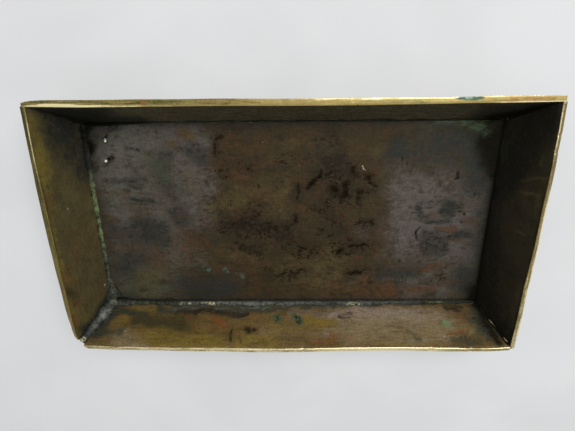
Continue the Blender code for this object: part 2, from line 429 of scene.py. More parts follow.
# strokes for each stain layer, as paintMarks takes them
plateMarks = {
    "haze": [
        (3, 0.5, 66, -13.4, 74, -15.8), (1.2, 0.8, 61.6, -18.4, 65.4, -16.6), (6, 0.4, 62, 15, 52, 4),
        (9, 0.65, -43, 31, -38, 3), (10, 0.25, -56, 26, -60, 0), (7, 0.6, 45, 9, 44.5, -14),
        (5, 0.3, 42, 22, 42, 14), (12, 0.4, 50, 16, 62, 8), (9, 0.5, 53, 4, 56, -8), (7, 0.5, 51, 5, 52, -8),
        (4, 0.4, 63, -4, 66, -6), (6, 0.4, 63, -14), (5, 0.45, 51, -35), (6, 0.5, -40, 36, -36, 32),
        (8, 0.5, 72, 12, 73, -20), (8, 0.4, 48, -28, 66, -31), (9, 0.2, -64, -22, -58, -30),
        (9, 0.3, -70, -4, -66, -12), (6, 0.25, -42, 16, -34, 14), (5, 0.3, 29, -5), (4, 0.35, 29, -27),
        (5, 0.4, -51, 4), (7, 0.65, -40, 35), (6, 0.3, -40, 25), (5, 0.25, 63, 6, 62, -6),
        (5, 0.15, -17, 36), (6, 0.35, -64, 36)],
    "film": [
        (10, 0.35, 45, -25, 65, -25), (7, 0.25, -64, 36, -62, 14), (6, 0.3, -51, 5),
        (8, 0.3, 63, 6, 63, -14), (7, 0.45, -51, -4), (6, 0.35, -63, -5), (5, 0.5, 63, -36),
        (5, 0.5, 51, -35), (5, 0.25, -74, -36, -50, -35), (6, 0.4, -40, -18), (5, 0.4, 51, 36),
        (9, 0.75, -70, 33, -58, 31), (9, 0.7, -71, 22, -64, 16), (7, 0.4, -54, 34, -47, 32),
        (7, 0.6, -73, 14, -70, 0), (10, 0.2, -62, -26, -54, -30), (8, 0.5, -51, 16, -51, -10),
        (6, 0.3, -51, -15, -51, -26), (8, 0.5, -74, -15, -72, -28), (7, 0.5, -63, 37, -58, 36),
        (6, 0.85, -62, 34.5)],
    "rust": [
        (5, 0.3, -52, 8, -48, 2), (3, 0.35, -28, -35), (3.5, 0.4, -45.5, 30.5), (3, 0.5, -41, 36),
        (3.5, 0.35, -23.5, 34), (4, 0.5, -18.5, 19), (5, 0.35, -12, 10, -8, 8), (3, 0.4, 4, 4),
        (3, 0.35, -66, 9), (5, 0.4, -70, -14, -67, -13), (7, 0.4, -50, -10, -43, -12), (5, 0.4, -57, -19),
        (6, 0.3, -18, -22), (3, 0.5, 31, -27), (4, 0.5, 42.5, -34.5), (1.4, 0.8, 58.8, -5, 65.7, -5),
        (1.6, 0.7, 71, -2, 73.5, -2), (2.2, 0.7, 54, -23.4, 62.4, -21.5), (2.5, 0.55, 65, -28.5, 71, -29.5),
        (1.0, 0.7, 55.5, 2.2, 58, 2), (0.9, 0.7, 63.6, -9.2, 68.8, -9), (2, 0.5, 39, -20.5, 43.5, -21),
        (1.8, 0.7, 51, -33.7, 60, -33.2), (1.8, 0.9, 39.5, -35.3, 43.3, -35.5), (4, 0.3, 8, 12),
        (5, 0.35, -13, -6, -5, -8), (6, 0.4, 16, -34, 30, -34), (5, 0.3, 18, 26, 20, 23),
        (5, 0.3, -56, 22, -52, 17), (5, 0.35, 38, -34, 52, -34), (6, 0.2, -24, 26, -8, 30)],
    "gold": [
        (4, 0.35, -40, 18, -40, 12), (5, 0.5, 16, -15, 19, -17), (4, 0.4, -17, -16, -27, -15),
        (5, 0.4, -5, -26, 6, -25), (2.5, 0.6, -40.5, 36.5, -38, 34), (1.6, 0.6, -47, 31.4, -43.5, 29.5),
        (1.5, 0.5, -73, 11.3, -68, 11.2), (6, 0.4, -28, 6, -6, 14), (5, 0.3, -62, -26, -56, -24),
        (3, 0.5, 17, 22, 18, 15), (5, 0.6, -67, -30, -65.5, -35), (6, 0.35, -66, -26, -60, -32),
        (2.5, 0.5, -31, 5, -31, 2), (8, 0.5, 3, -26, 20, -29), (5, 0.4, -5, -21), (4, 0.4, 34, 28),
        (3, 0.5, -40, 35), (7, 0.35, -4, 4, -2, 14), (8, 0.3, 2, 32, 14, 28)],
    # slate: blue-grey patina blotches, and painted shade in the back corners and along the edges
    "slateAndShade": [
        (2.5, 0.5, -42, 30, -35, 26), (1.2, 0.6, -71, 16.7, -57, 16.6), (2.4, 0.8, -79, 38, -78, 20),
        (2.5, 0.8, -79, 38.5, -68, 38), (4, 0.4, -76.5, 37, -77, 31), (2.5, 0.7, -76, 38, -64, 38.4),
        (4, 0.8, -63, -2, -54, -3), (4, 0.8, -60, -7, -53, -10), (5, 0.5, -74, -5, -67, -7),
        (5, 0.55, -70, -18, -64, -18), (5, 0.45, -76, -24, -71, -24), (6, 0.6, -48, -34, -27, -34),
        (5, 0.5, -36, -29, -28, -31), (3.2, 0.7, 55.7, -8.5, 62, -10), (3.2, 0.65, 56.3, -14, 63, -15),
        (3, 0.55, 37, -26, 53, -24), (3, 0.9, 62, 6, 66, 5), (2, 0.4, 51.5, 5.5), (4, 0.7, 40, 29),
        (4, 0.45, -48, 26), (4, 0.45, -51, 19, -49, 12), (4, 0.45, -38, 28, -36, 25),
        (6, 0.8, 75, -31, 79, -36), (1.4, 0.5, 50, 4, 51, 2), (1.3, 0.85, 54, -1.6, 63, -1.4),
        (1.6, 0.85, 60.5, 3.4, 64, 1.6), (1.1, 0.8, 64, -7.8, 72, -7.6), (1.2, 0.7, 57, -37, 61, -35.5),
        (4, 0.7, 75, -28, 79, -36), (5, 0.5, 70, 25, 74, 20), (0.8, 0.8, -65, 14, -59, 14),
        (0.9, 0.8, -65, 8, -56, 8), (0.9, 0.7, -63, 29.5, -59, 29.5), (4, 0.5, -46, 4, -43, 0),
        (10, 0.9, 75, 34, 76, 18), (6, 0.5, 73, -24, 78, -34), (9, 0.75, 56, 33, 76, 29),
        (7, 0.5, 40, 26, 52, 25), (6, 0.8, -79, 38, -74, 38), (3, 0.5, -79, 38, -78.5, 26),
        (9, 0.95, 79, 39, 78, 18), (2.2, 0.55, -48.6, 3.4, -45.5, -2.4), (4, 0.3, -74, -20, -69, -28),
        (4, 0.9, 73, 37, 75, 33), (4, 0.35, -28, -26), (4.5, 0.45, -47, -27, -42, -33),
        (1.6, 0.6, -33, -6.5, -31, -10.5), (1.6, 0.6, 39.6, 31.5, 41.2, 27), (1.0, 0.6, 51, 5, 51.2, -0.5),
        (3.5, 0.35, 36, -21, 50, -25), (1.5, 0.5, 67, -6, 74, -9), (2.5, 0.4, 72.5, -25, 75.5, -32),
        (1.2, 0.4, 53.8, 19.2, 55.7, 18.8), (5, 0.7, -79, -39, -70, -38), (5, 0.4, -51, 25),
        (5, 0.3, -63, 15), (6, 0.4, -40, -35), (6, 0.4, 63, 36)],
    "smoke": [
        (4, 0.7, -24, -3, -14, -3, -3, -7), (3, 0.5, -22, -12, -14, -13), (5, 0.45, 14, 14, 26, 10),
        (3.5, 0.6, 15, 19, 24, 18), (2.5, 0.6, 10, 19, 8, 14), (2.5, 0.5, 30, 17, 33, 13),
        (2, 0.5, 3, 14, 3, 8), (2.5, 0.5, -1, -3, 2, 1), (4, 0.5, 21, -14, 28, -12),
        (4, 0.5, 16, 35, 18, 23), (4, 0.5, -9, -26, 0, -27), (4, 0.45, 26, -25), (4, 0.4, -2, -10, 11, -14),
        (3, 0.4, -28, 2, -26, -5), (3, 0.45, 29, -2, 33, -2), (3, 0.4, 3, 15, 3, 8),
        (3, 0.4, -29, 31, -30, 25), (4, 0.4, 12, 6, 14, -6), (4, 0.35, -18, 22, -16, 20),
        (5, 0.3, 16, 2, 20, -6), (5, 0.35, -17, 2, -17, -4), (5, 0.45, -6, 16), (6, 0.5, 6, 26, 17, 25),
        (5, 0.4, -6, -15), (5, 0.45, 6, -25), (0.8, 0.8, -74, -38.9, 30, -38.9),
        (0.8, 0.5, 30, -39, 76, -39), (0.6, 0.9, -78, -31, -76, -36, -71, -38)],
    # soot: dirt, and painted shade that is deepest in the back corners and along the right seam
    "sootAndShade": [
        (2.2, 0.7, 16.3, 12.6, 16.5, 11.2), (2.0, 0.65, 21.5, 13.8, 20.6, 9.8),
        (1.3, 0.45, 27.2, 12, 26.4, 8), (1.6, 0.35, -22, -12.4, -19, -13.4), (7, 0.7, 77, 36, 79, 22),
        (3.4, 0.9, -79.5, 39.5, -78.8, 30), (1.8, 0.7, -79.2, 30, -79, 22), (1.8, 0.8, -79, 39, -64, 39.4),
        (7.5, 0.75, 79, 38, 77.5, 32), (4, 0.5, 76, 38, 62, 39.5), (6.5, 1.0, 80, 40, 78.5, 31),
        (3.5, 0.9, 79.5, 31, 80.5, 20), (2, 0.7, 80, 20, 80.5, 10), (2.5, 0.9, 66, 40, 80, 40),
        (5, 0.8, 80, -40, 79, -33), (2, 0.6, 70, -39.5, 78, -39), (2, 0.7, -79.5, 39.5, -73, 39.5),
        (1.4, 0.4, -79.3, 39, -79, 28)],
    "moss": [
        (8, 0.2, -66, -26, -54, -30), (8, 0.25, -72, -35, -60, -35), (4, 0.35, -55, 25, -51, 21),
        (4, 0.35, -49, 20, -44, 14), (1.3, 0.9, 54, 38.9, 66, 38.6), (2.2, 0.7, 65, 38, 70, 37),
        (1.8, 0.5, 70.5, 35.5, 73, 34)],
    "etch": [
        (3.5, 0.5, -28.8, 7, -13, 3), (2.5, 0.5, -28, -4.8, -23, -1.8), (2.5, 0.45, -20, -3, -11, -2.6),
        (5, 0.35, -20, -7, -1, -8), (2.5, 0.5, -24, -12, -12, -16), (3, 0.65, -2.5, -15, 12.8, -17),
        (3.5, 0.7, 12, -5.6, 18, -12), (3.5, 0.55, 19, -15.5, 24, -11.3, 30, -11.7),
        (3.5, 0.6, -11, -23.3, -7, -26.5, -3, -25), (2.5, 0.5, 3, -25, -1, -30),
        (4, 0.5, 24, -25, 29, -25, 33, -30), (4, 0.6, 13.5, 18.4, 20, 19, 23, 20),
        (4, 0.5, 16.5, 12, 21, 10), (3, 0.6, 27, 11.5, 25.6, 6.6), (2.5, 0.5, 30, 17.6, 32.5, 12.8),
        (2.5, 0.6, 25, -2, 33, -2.8), (2, 0.5, -30, 27, -26.5, 33.7), (2.5, 0.6, -4, 23.8, 0, 25.8),
        (2.5, 0.6, -19.4, 23.3, -15.6, 20.6), (2.5, 0.8, -30.5, 20.7, -26, 17.3),
        (2.5, 0.5, 13.7, 6, 12.4, 3), (9, 0.4, 0, 0, 20, 0), (5, 0.35, 56, -11, 64, -10),
        (4, 0.4, 62, 4, 70, 1), (4, 0.4, 44, -30, 64, -28), (16, 0.25, -50, 10, 40, 25),
        (14, 0.25, -55, -10, 60, -15)],
    "pit": [
        (1.0, 0.8, 6.4, 13, 8.5, 15.5), (1.3, 0.9, 8.5, 15.5, 10.6, 17.8), (0.6, 0.9, 11, 18, 11.5, 20.6),
        (0.6, 0.9, 3.1, 15.1, 2.9, 10), (1.1, 1.0, 2.8, 8.7), (0.8, 0.8, 1.7, 1.7, 0.8, -1.5, -1, -4.6),
        (2.0, 0.95, 16.5, 12.6, 16.6, 11.4), (1.7, 0.9, 21.6, 14.3, 22, 10.6),
        (1.6, 0.85, 19.6, 8.7, 21, 9.6), (0.6, 0.8, 13.5, 18.4, 16, 19.2, 19.5, 18.6),
        (0.6, 0.7, 14, 17.2, 18.5, 17.3), (0.9, 0.8, 22.8, 20.6, 23.4, 19), (1.2, 1.0, 27, 12.6, 27.6, 11),
        (1.1, 1.0, 26.6, 9.5, 25.6, 6.6), (0.7, 0.7, 28.5, 11, 30, 10.4), (0.9, 0.9, 30.2, 17.6, 30.8, 15),
        (0.7, 0.85, 30.8, 15, 32.6, 12.9), (0.6, 0.7, 25.3, -2, 29, -1.2, 32.6, -1.4),
        (0.7, 0.8, 32.6, -1.4, 33.4, -3), (0.9, 0.6, -23.3, -1.8, -28.3, -4.8),
        (1.5, 0.55, -20, -3.3, -19, -2), (1.4, 0.6, -14, -2.2, -9, -2.8),
        (1.5, 0.65, -22, -12.2, -18, -13.6), (0.6, 0.6, -16, -14.6, -12, -16),
        (0.7, 0.85, 2.4, -13, 5, -13.8, 10, -13.6), (0.5, 0.6, -2.5, -15, 1, -16),
        (0.5, 0.6, 5, -16.5, 12.5, -17.5), (0.8, 0.85, 19, -15.5, 21, -13, 24.3, -11.3, 29.8, -11.7),
        (0.7, 0.7, 20, -16.4, 25, -15.8), (0.9, 0.6, 22, -14),
        (0.8, 0.75, -11, -23.3, -9, -25.5, -6.9, -26.5, -3.3, -25), (1.0, 0.6, -1.2, -24.5, -1.2, -29.5),
        (0.8, 0.8, 3, -24.6, 1.8, -25.8), (1.4, 0.75, 25, -25.3, 28, -25),
        (0.7, 0.7, 24.2, -24.3, 26, -23.6, 29, -25.4), (0.6, 0.6, 33, -30, 36, -30),
        (0.8, 0.8, -30.1, 26.6, -29.6, 30.5), (0.9, 0.8, -28.4, 32.6, -26.4, 33.8), (0.9, 0.7, -19.6, 23.6),
        (0.9, 0.7, -16.4, 20.8, -15.2, 20.6), (0.7, 0.7, -3.9, 23.8, -2.4, 22.6), (0.8, 0.6, -0.3, 25.9),
        (0.8, 0.7, -12.8, 14.4, -12.2, 13.4), (0.6, 0.7, -30.5, 20.7), (0.5, 0.6, -28.5, 20.3),
        (0.5, 0.6, -32.3, 20), (0.8, 0.7, -27, 17.4), (0.9, 0.5, 8.2, 32, 12.6, 32), (1.0, 0.4, 16, 34),
        (0.5, 0.8, 64, 20.5, 64.5, 16.5), (1.0, 0.7, 72.5, 10), (0.9, 0.9, 67, 2, 69.5, 1),
        (0.5, 0.9, 51.5, -10, 51.3, -6.6, 52.3, -4.7), (0.8, 0.8, 68.9, -2.8), (0.8, 0.7, 44, 1.5),
        (0.7, 0.7, 52.4, -1.8), (0.8, 0.8, 44.8, -19.8), (0.9, 0.8, 63.3, -27.8), (0.8, 0.6, 55.6, -25.6),
        (0.5, 0.7, 42, 24.5, 42.3, 20.5), (0.5, 0.7, 44.3, 25, 44.6, 20.5), (0.9, 0.6, 51, 11),
        # the last three pits lie round the two pins' feet: dark holes with the pins' painted shade in them
        (0.9, 0.6, 74.5, 15.5), (1.4, 1.0, -70.3, 25.5), (1.1, 1.0, -71.4, 24.2),
        (0.9, 0.9, -71.4, 32.6, -71, 34.4)],
    "green": [
        (1.4, 0.75, -38, -23, -36.8, -23.6), (1.3, 0.75, -29.2, -23.6, -28, -24.4),
        (1.5, 0.7, -23, -26.2, -21.6, -27), (1.4, 0.4, -18, -30), (0.6, 0.7, 46.4, -28),
        (0.6, 0.6, 49, -29.2), (0.6, 0.6, 52.4, -29.5), (0.6, 0.7, 58.3, -29), (0.6, 0.7, 61, -29.2),
        (0.7, 0.7, 56, -25)],
    # glint: bright scratches and painted highlights
    "glint": [
        (0.3, 0.4, -53.2, 9.9), (0.3, 0.35, -51.5, 7), (0.3, 0.3, -50.2, 4), (0.35, 0.6, -10.2, 31),
        (0.3, 0.4, 2.8, 21.8), (0.35, 0.4, 27, 28.5), (0.24, 0.8, 27.6, 22.1, 28.2, 21.1),
        (0.22, 0.6, 28.4, 21, 28.8, 20.3), (0.3, 0.5, 9.6, 17.2), (0.35, 0.35, 3.8, 15.4),
        (0.4, 0.4, 27.4, 17.4), (0.45, 0.3, -50.8, 10), (0.45, 0.3, -50.3, 7), (0.4, 0.35, -65, -4),
        (0.4, 0.35, -63.4, -5.5), (0.5, 0.3, 38, 9), (0.5, 0.25, 32, 5), (0.3, 0.3, 62, -18.2, 65, -16.8),
        (0.3, 0.3, 66, 1.6, 71.5, 1.4), (0.35, 0.4, -56.4, 37.4), (0.4, 0.35, 67.7, -37),
        (0.4, 0.25, 31.8, -3.4)],
}


def makePlate(shape, material):
    # a height field over x and y, closed by four leaning edges and a flat underside
    slack = (rimZ - sheetThick) * math.tan(flare) + rimWide + shape["footGap"] * mm
    plateX, plateY = halfX - slack, halfY - slack
    gridX, gridY = np.meshgrid(np.linspace(-plateX, plateX, shape["countX"]),
                               np.linspace(-plateY, plateY, shape["countY"]))
    x, y = gridX.ravel(), gridY.ravel()
    layers = patinaLayers(x, y, plateMarks, shape["seed"])
    fromSide = {"left": plateX + x, "right": plateX - x, "front": plateY + y, "back": plateY - y}
    # the plate darkens towards its four edges: painted shade where it meets the walls, with dirt
    for side, (reach, strength, darkReach, darkStrength) in plateEdgeShadeAndDirt.items():
        away = fromSide[side] / mm
        layers["slateAndShade"] = np.maximum(layers["slateAndShade"], strength * np.exp(-away / reach))
        layers["sootAndShade"] = np.maximum(layers["sootAndShade"], darkStrength * np.exp(-away / darkReach))
    rolling = sum(height * softNoise(x, y, cell * mm, seed) for height, cell, seed in shape["rolling"])
    fromEdge = np.minimum.reduce(list(fromSide.values()))
    height = (rolling - shape["pitDepth"] * layers["pit"]) * mm
    height = height * easeStep(0.0, shape["flatEdge"] * mm, fromEdge)
    top = np.column_stack([x, y, sheetThick + height])
    index = np.arange(x.size).reshape(gridX.shape)
    quads = np.stack([index[:-1, :-1], index[:-1, 1:], index[1:, 1:], index[1:, :-1]], -1).reshape(-1, 4)
    ring = np.concatenate([index[0, :-1], index[:-1, -1], index[-1, :0:-1], index[:0:-1, 0]])
    shrink = sheetThick * math.tan(flare)
    under = np.sign(top[ring]) * np.minimum(np.abs(top[ring]), (plateX - shrink, plateY - shrink, 0.0))
    low = x.size + np.arange(ring.size)
    sides = np.stack([np.roll(ring, -1), ring, low, np.roll(low, -1)], 1)
    points = np.vstack([top, under])
    faces = quads.tolist() + sides.tolist() + [low[::-1].tolist()]
    layers["inside"] = np.ones(x.size)
    layers = {layer: np.append(values, np.zeros(ring.size)) for layer, values in layers.items()}
    return makePiece("basePlate", points, faces, layers, "base_plate", material)


makePlate(plateShape, agedBrass("plateBrass", plateLook, plateMarks))
print("base plate made")

# Walls

# How every sheet is cut into a grid, waves, wears and shows bare metal. Sizes are in millimetres, waves are
# (height, cell), seeds are added to the wall's own, and the rest are shares of the sheet: Along its length,
# Up its height and Through it from the inner face. steadyRim is how much less ragged marks are at the rim.
wallSheet = {
    "step": 0.5, "rows": 38, "rimUp": 0.94, "rimRows": [0.965, 0.985, 1.0],
    "through": [0, 0.12, 0.24, 0.36, 0.55, 0.78, 1],
    "wave": (0.16, 22), "dent": (0.05, 6), "rimWave": (0.05, 3), "pitDepth": 0.12, "steadyRim": 0.75,
    "steadyUp": (0.96, 1.0), "waveUp": (0.0, 0.5), "dentUp": (0.95, 0.85), "lipUp": (0.95, 1.0),
    "outsideThrough": (0.9, 1.0), "slopeThrough": (0.2, 1.0), "outerThrough": (0.5, 0.85),
    "lineEdge": (0.07, -0.07), "bareUp": (0.984, 0.998), "cutAlong": (0.004, 0.0), "cutUp": (0.6, 0.8),
    "cutBare": 0.45, "rimSeed": 20, "dentSeed": 50, "marksSeed": 70,
}
# the rounding of its edges, its width in millimetres
edgeWear = {"width": 0.22, "segments": 3, "angleDeg": 50}
# a wall that says nothing else of its rim has these
wallPlain = {"nicks": [], "bareness": [(0, 1), (1, 1)], "lineWide": [(0, 0.27), (1, 0.27)],
             "outerLine": [(0, 0), (1, 0)]}
# the end walls' noises run along y
endGrain = {"stir": 0.5, "drawn": (1.2, 0.7, 1.0), "brush": (1.4, 0.25, 1.0), "cross": (0.3, 1.6, 1.6),
            "rimBrush": (1.0, 0.1, 1.0)}
# Along each wall places run from 0 to 1, left to right or front to back. bow is how far the sheet leans out
# at the rim, innerLip and outerLip move the rim's two edges, slope is how much lower the outer one lies, and
# nicks are (depth, width, place along), all in millimetres. gold is the rim's shine all over, worn bare
# metal with a painted highlight, line and lineWide its inner bright line, also partly painted highlight, and
# how wide that is, outerLine its outer one, and bareness how bare the rim is. marks are strokes as
# paintMarks takes them, x being along the wall and y up it.
wallShape = {
    "back": {
        "node": "back_wall", "outward": (0, 1), "seed": 11, "slope": 0.15,
        "bow": [(0, -0.1), (1, -0.1)],
        "innerLip": [(0, 0), (0.12, -0.3), (0.5, -0.6), (0.88, -0.3), (1, 0)],
        "outerLip": [
            (0, -0.4), (0.011, 0.1), (0.022, 0.33), (0.044, 0.5), (0.2, 0.45), (0.3, 0.3), (0.5, 0.15),
            (0.67, 0.25), (0.76, 0.05), (0.88, 0.3), (0.95, 0.4), (1, 0.3)],
        "gold": [
            (0, 0.18), (0.15, 0.26), (0.26, 0.2), (0.33, 0.29), (0.42, 0.4), (0.5, 0.47), (0.6, 0.45),
            (0.69, 0.3), (0.76, 0.42), (0.8, 0.38), (0.88, 0.4), (0.94, 0.4), (1, 0.45)],
        "outerLine": [(0, 0), (0.35, 0), (0.45, 0.55), (0.6, 0.75), (0.85, 0.7), (1, 0.6)],
        "lineWide": [(0, 0.25), (0.02, 0.35), (0.06, 0.5), (0.12, 0.35), (0.2, 0.25), (1, 0.2)],
        "line": [
            (0, 0.7), (0.02, 0.95), (0.06, 1.25), (0.13, 1.0), (0.18, 0.8), (0.25, 0.6), (0.35, 0.5),
            (0.5, 0.4), (0.85, 0.5), (0.92, 0.9), (1, 1.0)],
        "look": {
            "brown": (90, 84, 63), "olive": (96, 91, 69), "warm": (94, 82, 60), "cool": (79, 75, 59),
            "stir": 0.25, "grain": 0.55, "slateAndShade": (38, 39, 34), "green": (62, 84, 72),
            "mint": (122, 148, 118), "umber": (140, 100, 58), "rimTarnish": (74, 74, 35),
            "rimDull": (160, 142, 86), "rimBrightAndHighlight": (252, 237, 182)},
        "marks": {
            # slate at the wall's two ends is painted shade in the back corners as well as patina
            "slateAndShade": [
                (7, 0.9, -90, 12, -72, 10), (5, 0.8, -76, 5, -57, 4), (7, 0.75, 70, 5, 88, 12),
                (6, 0.6, 68, 14, 88, 18), (6, 0.7, -88, 17, -66, 15)],
            # soot at the wall's two ends is painted shade in the back corners as well as dirt
            "sootAndShade": [(6, 0.6, 86, 13, 74, 3), (5, 0.4, 88, 18, 80, 10), (4, 0.5, -85, 12, -75, 3)],
            "rust": [(4, 0.4, -42, 12), (4, 0.3, 20, 14)],
            "umber": [
                (1.0, 0.9, -48.6, 21), (0.5, 0.5, 63, 20.8, 74, 20.8), (0.5, 0.7, 72, 20.9, 86, 20.8),
                (0.4, 0.5, -30, 21, -10, 21), (0.4, 0.4, 0, 21, 20, 20.9)],
            "smoke": [(1.2, 0.8, -78, 2, 78, 2)],
            "green": [
                (0.62, 1.0, 57, 21.2, 60.4, 21.2), (0.42, 1.0, 55.4, 21.2, 62.4, 21.2),
                (0.25, 0.9, 54.4, 21.2, 63.6, 21.2)],
            "mint": [(0.4, 0.8, 57.4, 21.3, 59.2, 21.35)]}},
    "front": {
        "node": "front_wall", "outward": (0, -1), "seed": 12, "slope": 0.25,
        "bow": [
            (0, 0.5), (0.08, 0.95), (0.3, 1.7), (0.4, 2.2), (0.5, 2.0), (0.64, 1.6), (0.75, 1.4),
            (0.95, 1.6), (1, 1.0)],
        "innerLip": [
            (0, 0.3), (0.17, 0.6), (0.31, 0.35), (0.5, 0.2), (0.7, 0), (0.86, 0), (0.95, 0.2), (1, 0.1)],
        "outerLip": [
            (0, 0.3), (0.1, 0.4), (0.3, 0.5), (0.5, 0.3), (0.64, 0.1), (0.75, 0.0), (0.85, 0.2), (0.94, 0.0),
            (1, 0.0)],
        "gold": [
            (0, 0.68), (0.1, 0.75), (0.3, 0.8), (0.5, 0.74), (0.6, 0.9), (0.75, 0.9), (0.85, 0.7),
            (1, 0.62)],
        "line": [
            (0, 0.7), (0.3, 0.75), (0.5, 0.8), (0.6, 1.1), (0.75, 1.15), (0.84, 0.9), (0.93, 0.75),
            (1, 0.8)],
        "nicks": [(0.35, 0.7, 56.5), (0.3, 0.6, 72.5), (0.3, 0.5, 4.5)],
        "look": {
            "brown": (90, 72, 37), "olive": (98, 81, 43), "warm": (104, 77, 41), "cool": (75, 65, 38),
            "haze": (132, 117, 102), "film": (124, 109, 78), "gold": (112, 93, 38), "rust": (108, 73, 38),
            "slateAndShade": (51, 53, 42), "moss": (57, 51, 29), "green": (58, 76, 56), "smoke": (44, 36, 25),
            "tin": (96, 96, 84), "pit": (52, 43, 29), "umber": (116, 68, 26), "etch": (38, 36, 24),
            "mint": (104, 130, 90), "stir": 0.55, "blotch": 0.55, "grain": 0.28, "drawn": (0.35, 1.0, 1.2),
            "brush": (0.2, 1.2, 1.4)},
        "marks": {
            "haze": [
                (2.5, 0.4, 0, 6.4, 16, 6.6), (4, 0.3, 14, 10.5, 40, 11), (3, 0.6, 17, 6.8, 45, 6.4),
                (3.5, 0.5, 29, 7, 54, 7), (4, 0.5, 48, 7, 65, 9), (6, 0.35, 50, 12, 60, 13),
                (2, 0.4, 14, 15, 25, 15)],
            "film": [
                (4, 0.45, 60, 10, 74, 14), (6, 0.5, 30, 12, 50, 12.5), (4, 0.4, 20, 11.5, 40, 12),
                (4, 0.6, 48, 11, 63, 12), (5, 0.4, 26, 17, 58, 17), (3, 0.3, 10, 14, 30, 15),
                (3.5, 0.85, -72, 17.6, -62, 18.8), (3, 0.4, -76, 16, -73, 16.5), (5, 0.35, -12, 14, 4, 12),
                (2.5, 0.5, 60, 15, 66, 17)],
            "gold": [
                (1.0, 0.6, -70, 4.6, -58, 4.5), (2.2, 0.6, -64, 14.4, -36, 15.4),
                (2.4, 0.75, -62, 17.6, -30, 18.6), (3, 0.6, -22, 17, -6, 17.5), (2.2, 0.9, 4, 9.6, 17, 10.2),
                (2, 0.45, -8, 11.5, 0, 12), (1.6, 0.5, -76, 9.5, -68, 10.5), (1.6, 0.5, 30, 19.3, 60, 19.3),
                (2, 0.3, 46, 14, 58, 13), (0.7, 0.8, -33.4, 19, -31.6, 17.2)],
            "rust": [
                (1.7, 0.55, -35.5, 8.7, -29.5, 9.6), (1.1, 0.6, -46.5, 8.4, -43, 8.6),
                (2.2, 0.35, -30, 11.5, -20, 12), (1.6, 0.65, 9, 17.2, 17.5, 17.4),
                (1.6, 0.45, 16, 15, 25, 15.1), (1.2, 0.7, 65, 14.2, 72, 13.8), (2, 0.5, 67.5, 7, 72, 8),
                (1.2, 0.4, -50, 7, -40, 7.2), (1.5, 0.3, 26, 17.5, 34, 17.5)],
            "moss": [
                (3, 0.85, -67, 10, -48, 11.6), (2.2, 0.5, -50, 12.5, -44, 12.4),
                (2.2, 0.5, -58, 7.8, -44, 8.2), (2, 0.45, -80, 12, -76, 15)],
            # slate at the wall's two ends is painted shade in the front corners, as well as patina and
            # solder smear
            "slateAndShade": [
                (1.5, 0.9, -77, 6.0, -63, 7.0), (2.4, 0.95, -75, 3, -82.5, 16),
                (2.4, 0.6, -81, 15, -72, 14.8), (1.9, 0.95, -58, 4.4, -38, 4.8, -16, 4.4),
                (1.6, 0.85, -16, 4, 6, 3.6), (1.4, 0.8, 6, 3, 36, 2.8), (4, 0.7, 79, 5, 83, 16),
                (3.5, 0.45, 73, 6.5, 78, 12), (2.6, 0.6, 67.5, 17.2, 76, 17.6),
                (1.7, 0.5, 48.5, 12.6, 52.5, 15.6)],
            # soot at the wall's right end is painted shade in the front right corner as well as dirt
            "sootAndShade": [(2.0, 0.75, 78.5, 2, 84.5, 18), (1.6, 0.25, 75.5, 3, 79, 10)],
            "tin": [
                (1.2, 0.55, -57, 4.2, -16, 4.4), (1.0, 0.5, -16, 3.8, 6, 3.6), (1.0, 0.45, 8, 3.6, 34, 3.6)],
            "smoke": [
                (1.4, 0.85, -50, 6.2, -20, 6.4), (1.2, 0.35, -4, 6, 14, 6.6), (1.0, 0.5, 34, 2.8, 78, 2.6),
                (1.8, 0.85, 66, 4.2, 71.5, 4.4), (1.0, 0.5, 19, 7.2, 26, 7), (1.2, 0.5, -22, 13, -14, 14)],
            "green": [(1.8, 1.0, -7, 7.6, -5.6, 9.4), (1.5, 1.0, 1.4, 8, 3, 9.2), (1.1, 0.5, -10, 7.4)],
            "umber": [(2.2, 0.75, -33, 9, -31.8, 9.4), (1.0, 0.4, -46, 8.4, -43.5, 8.6)],
            "etch": [
                (1.4, 1.0, -6.4, 7.4, -6.2, 9), (1.3, 0.9, 2.2, 8, 2.4, 9), (1.4, 0.7, -20, 13.8, -16, 14),
                (1.2, 0.6, -52, 5.8, -30, 6), (2, 0.5, 64, 15, 74, 17), (3, 0.6, 77, 8, 82, 16),
                (2, 0.4, 18, 7, 34, 6)],
            "mint": [
                (1.3, 0.85, 63.9, 10.2, 65.5, 10.5), (0.35, 0.6, -7.6, 9), (0.3, 0.6, -5.4, 8),
                (0.3, 0.6, 2.4, 8.4)],
            "pit": [
                (0.9, 0.95, -25, 12.9, -26.4, 16.2), (1.3, 0.9, -20.7, 13.4, -17.3, 14.4, -15.9, 13.8),
                (0.5, 0.95, 19, 7.4, 20.8, 8.1), (0.4, 0.6, 22.4, 7, 26, 6.7), (0.35, 0.6, 21, 8.4, 28, 8.2),
                (0.6, 0.5, -29.5, 11), (0.5, 0.6, -22, 15.5, -22.2, 17.5)],
            "glint": [
                (0.4, 0.6, -70.1, 15.2), (0.5, 0.3, 63, 15.6, 69, 15.2), (0.35, 0.5, 62.4, 15.8),
                (0.35, 0.55, 63.6, 16.4), (0.3, 0.45, 65, 16.8), (0.35, 0.4, 28.7, 16.5),
                (0.3, 0.3, 14.5, 13.3), (0.4, 0.4, 72.8, 17.6), (0.3, 0.35, -46, 10),
                (0.3, 0.4, -40, 7.5)]}},
    "left": {
        "node": "left_end_wall", "outward": (-1, 0), "seed": 13, "slope": 0.4,
        "bow": [
            (0, -0.2), (0.04, 0.3), (0.1, 0.7), (0.2, 0.9), (0.35, 1.3), (0.5, 1.5), (0.65, 1.45),
            (0.83, 1.1), (1, 0.6)],
        "innerLip": [(0, -0.2), (0.3, -0.3), (0.45, -0.7), (0.65, -0.6), (0.8, 0.0), (1, 0.0)],
        "outerLip": [
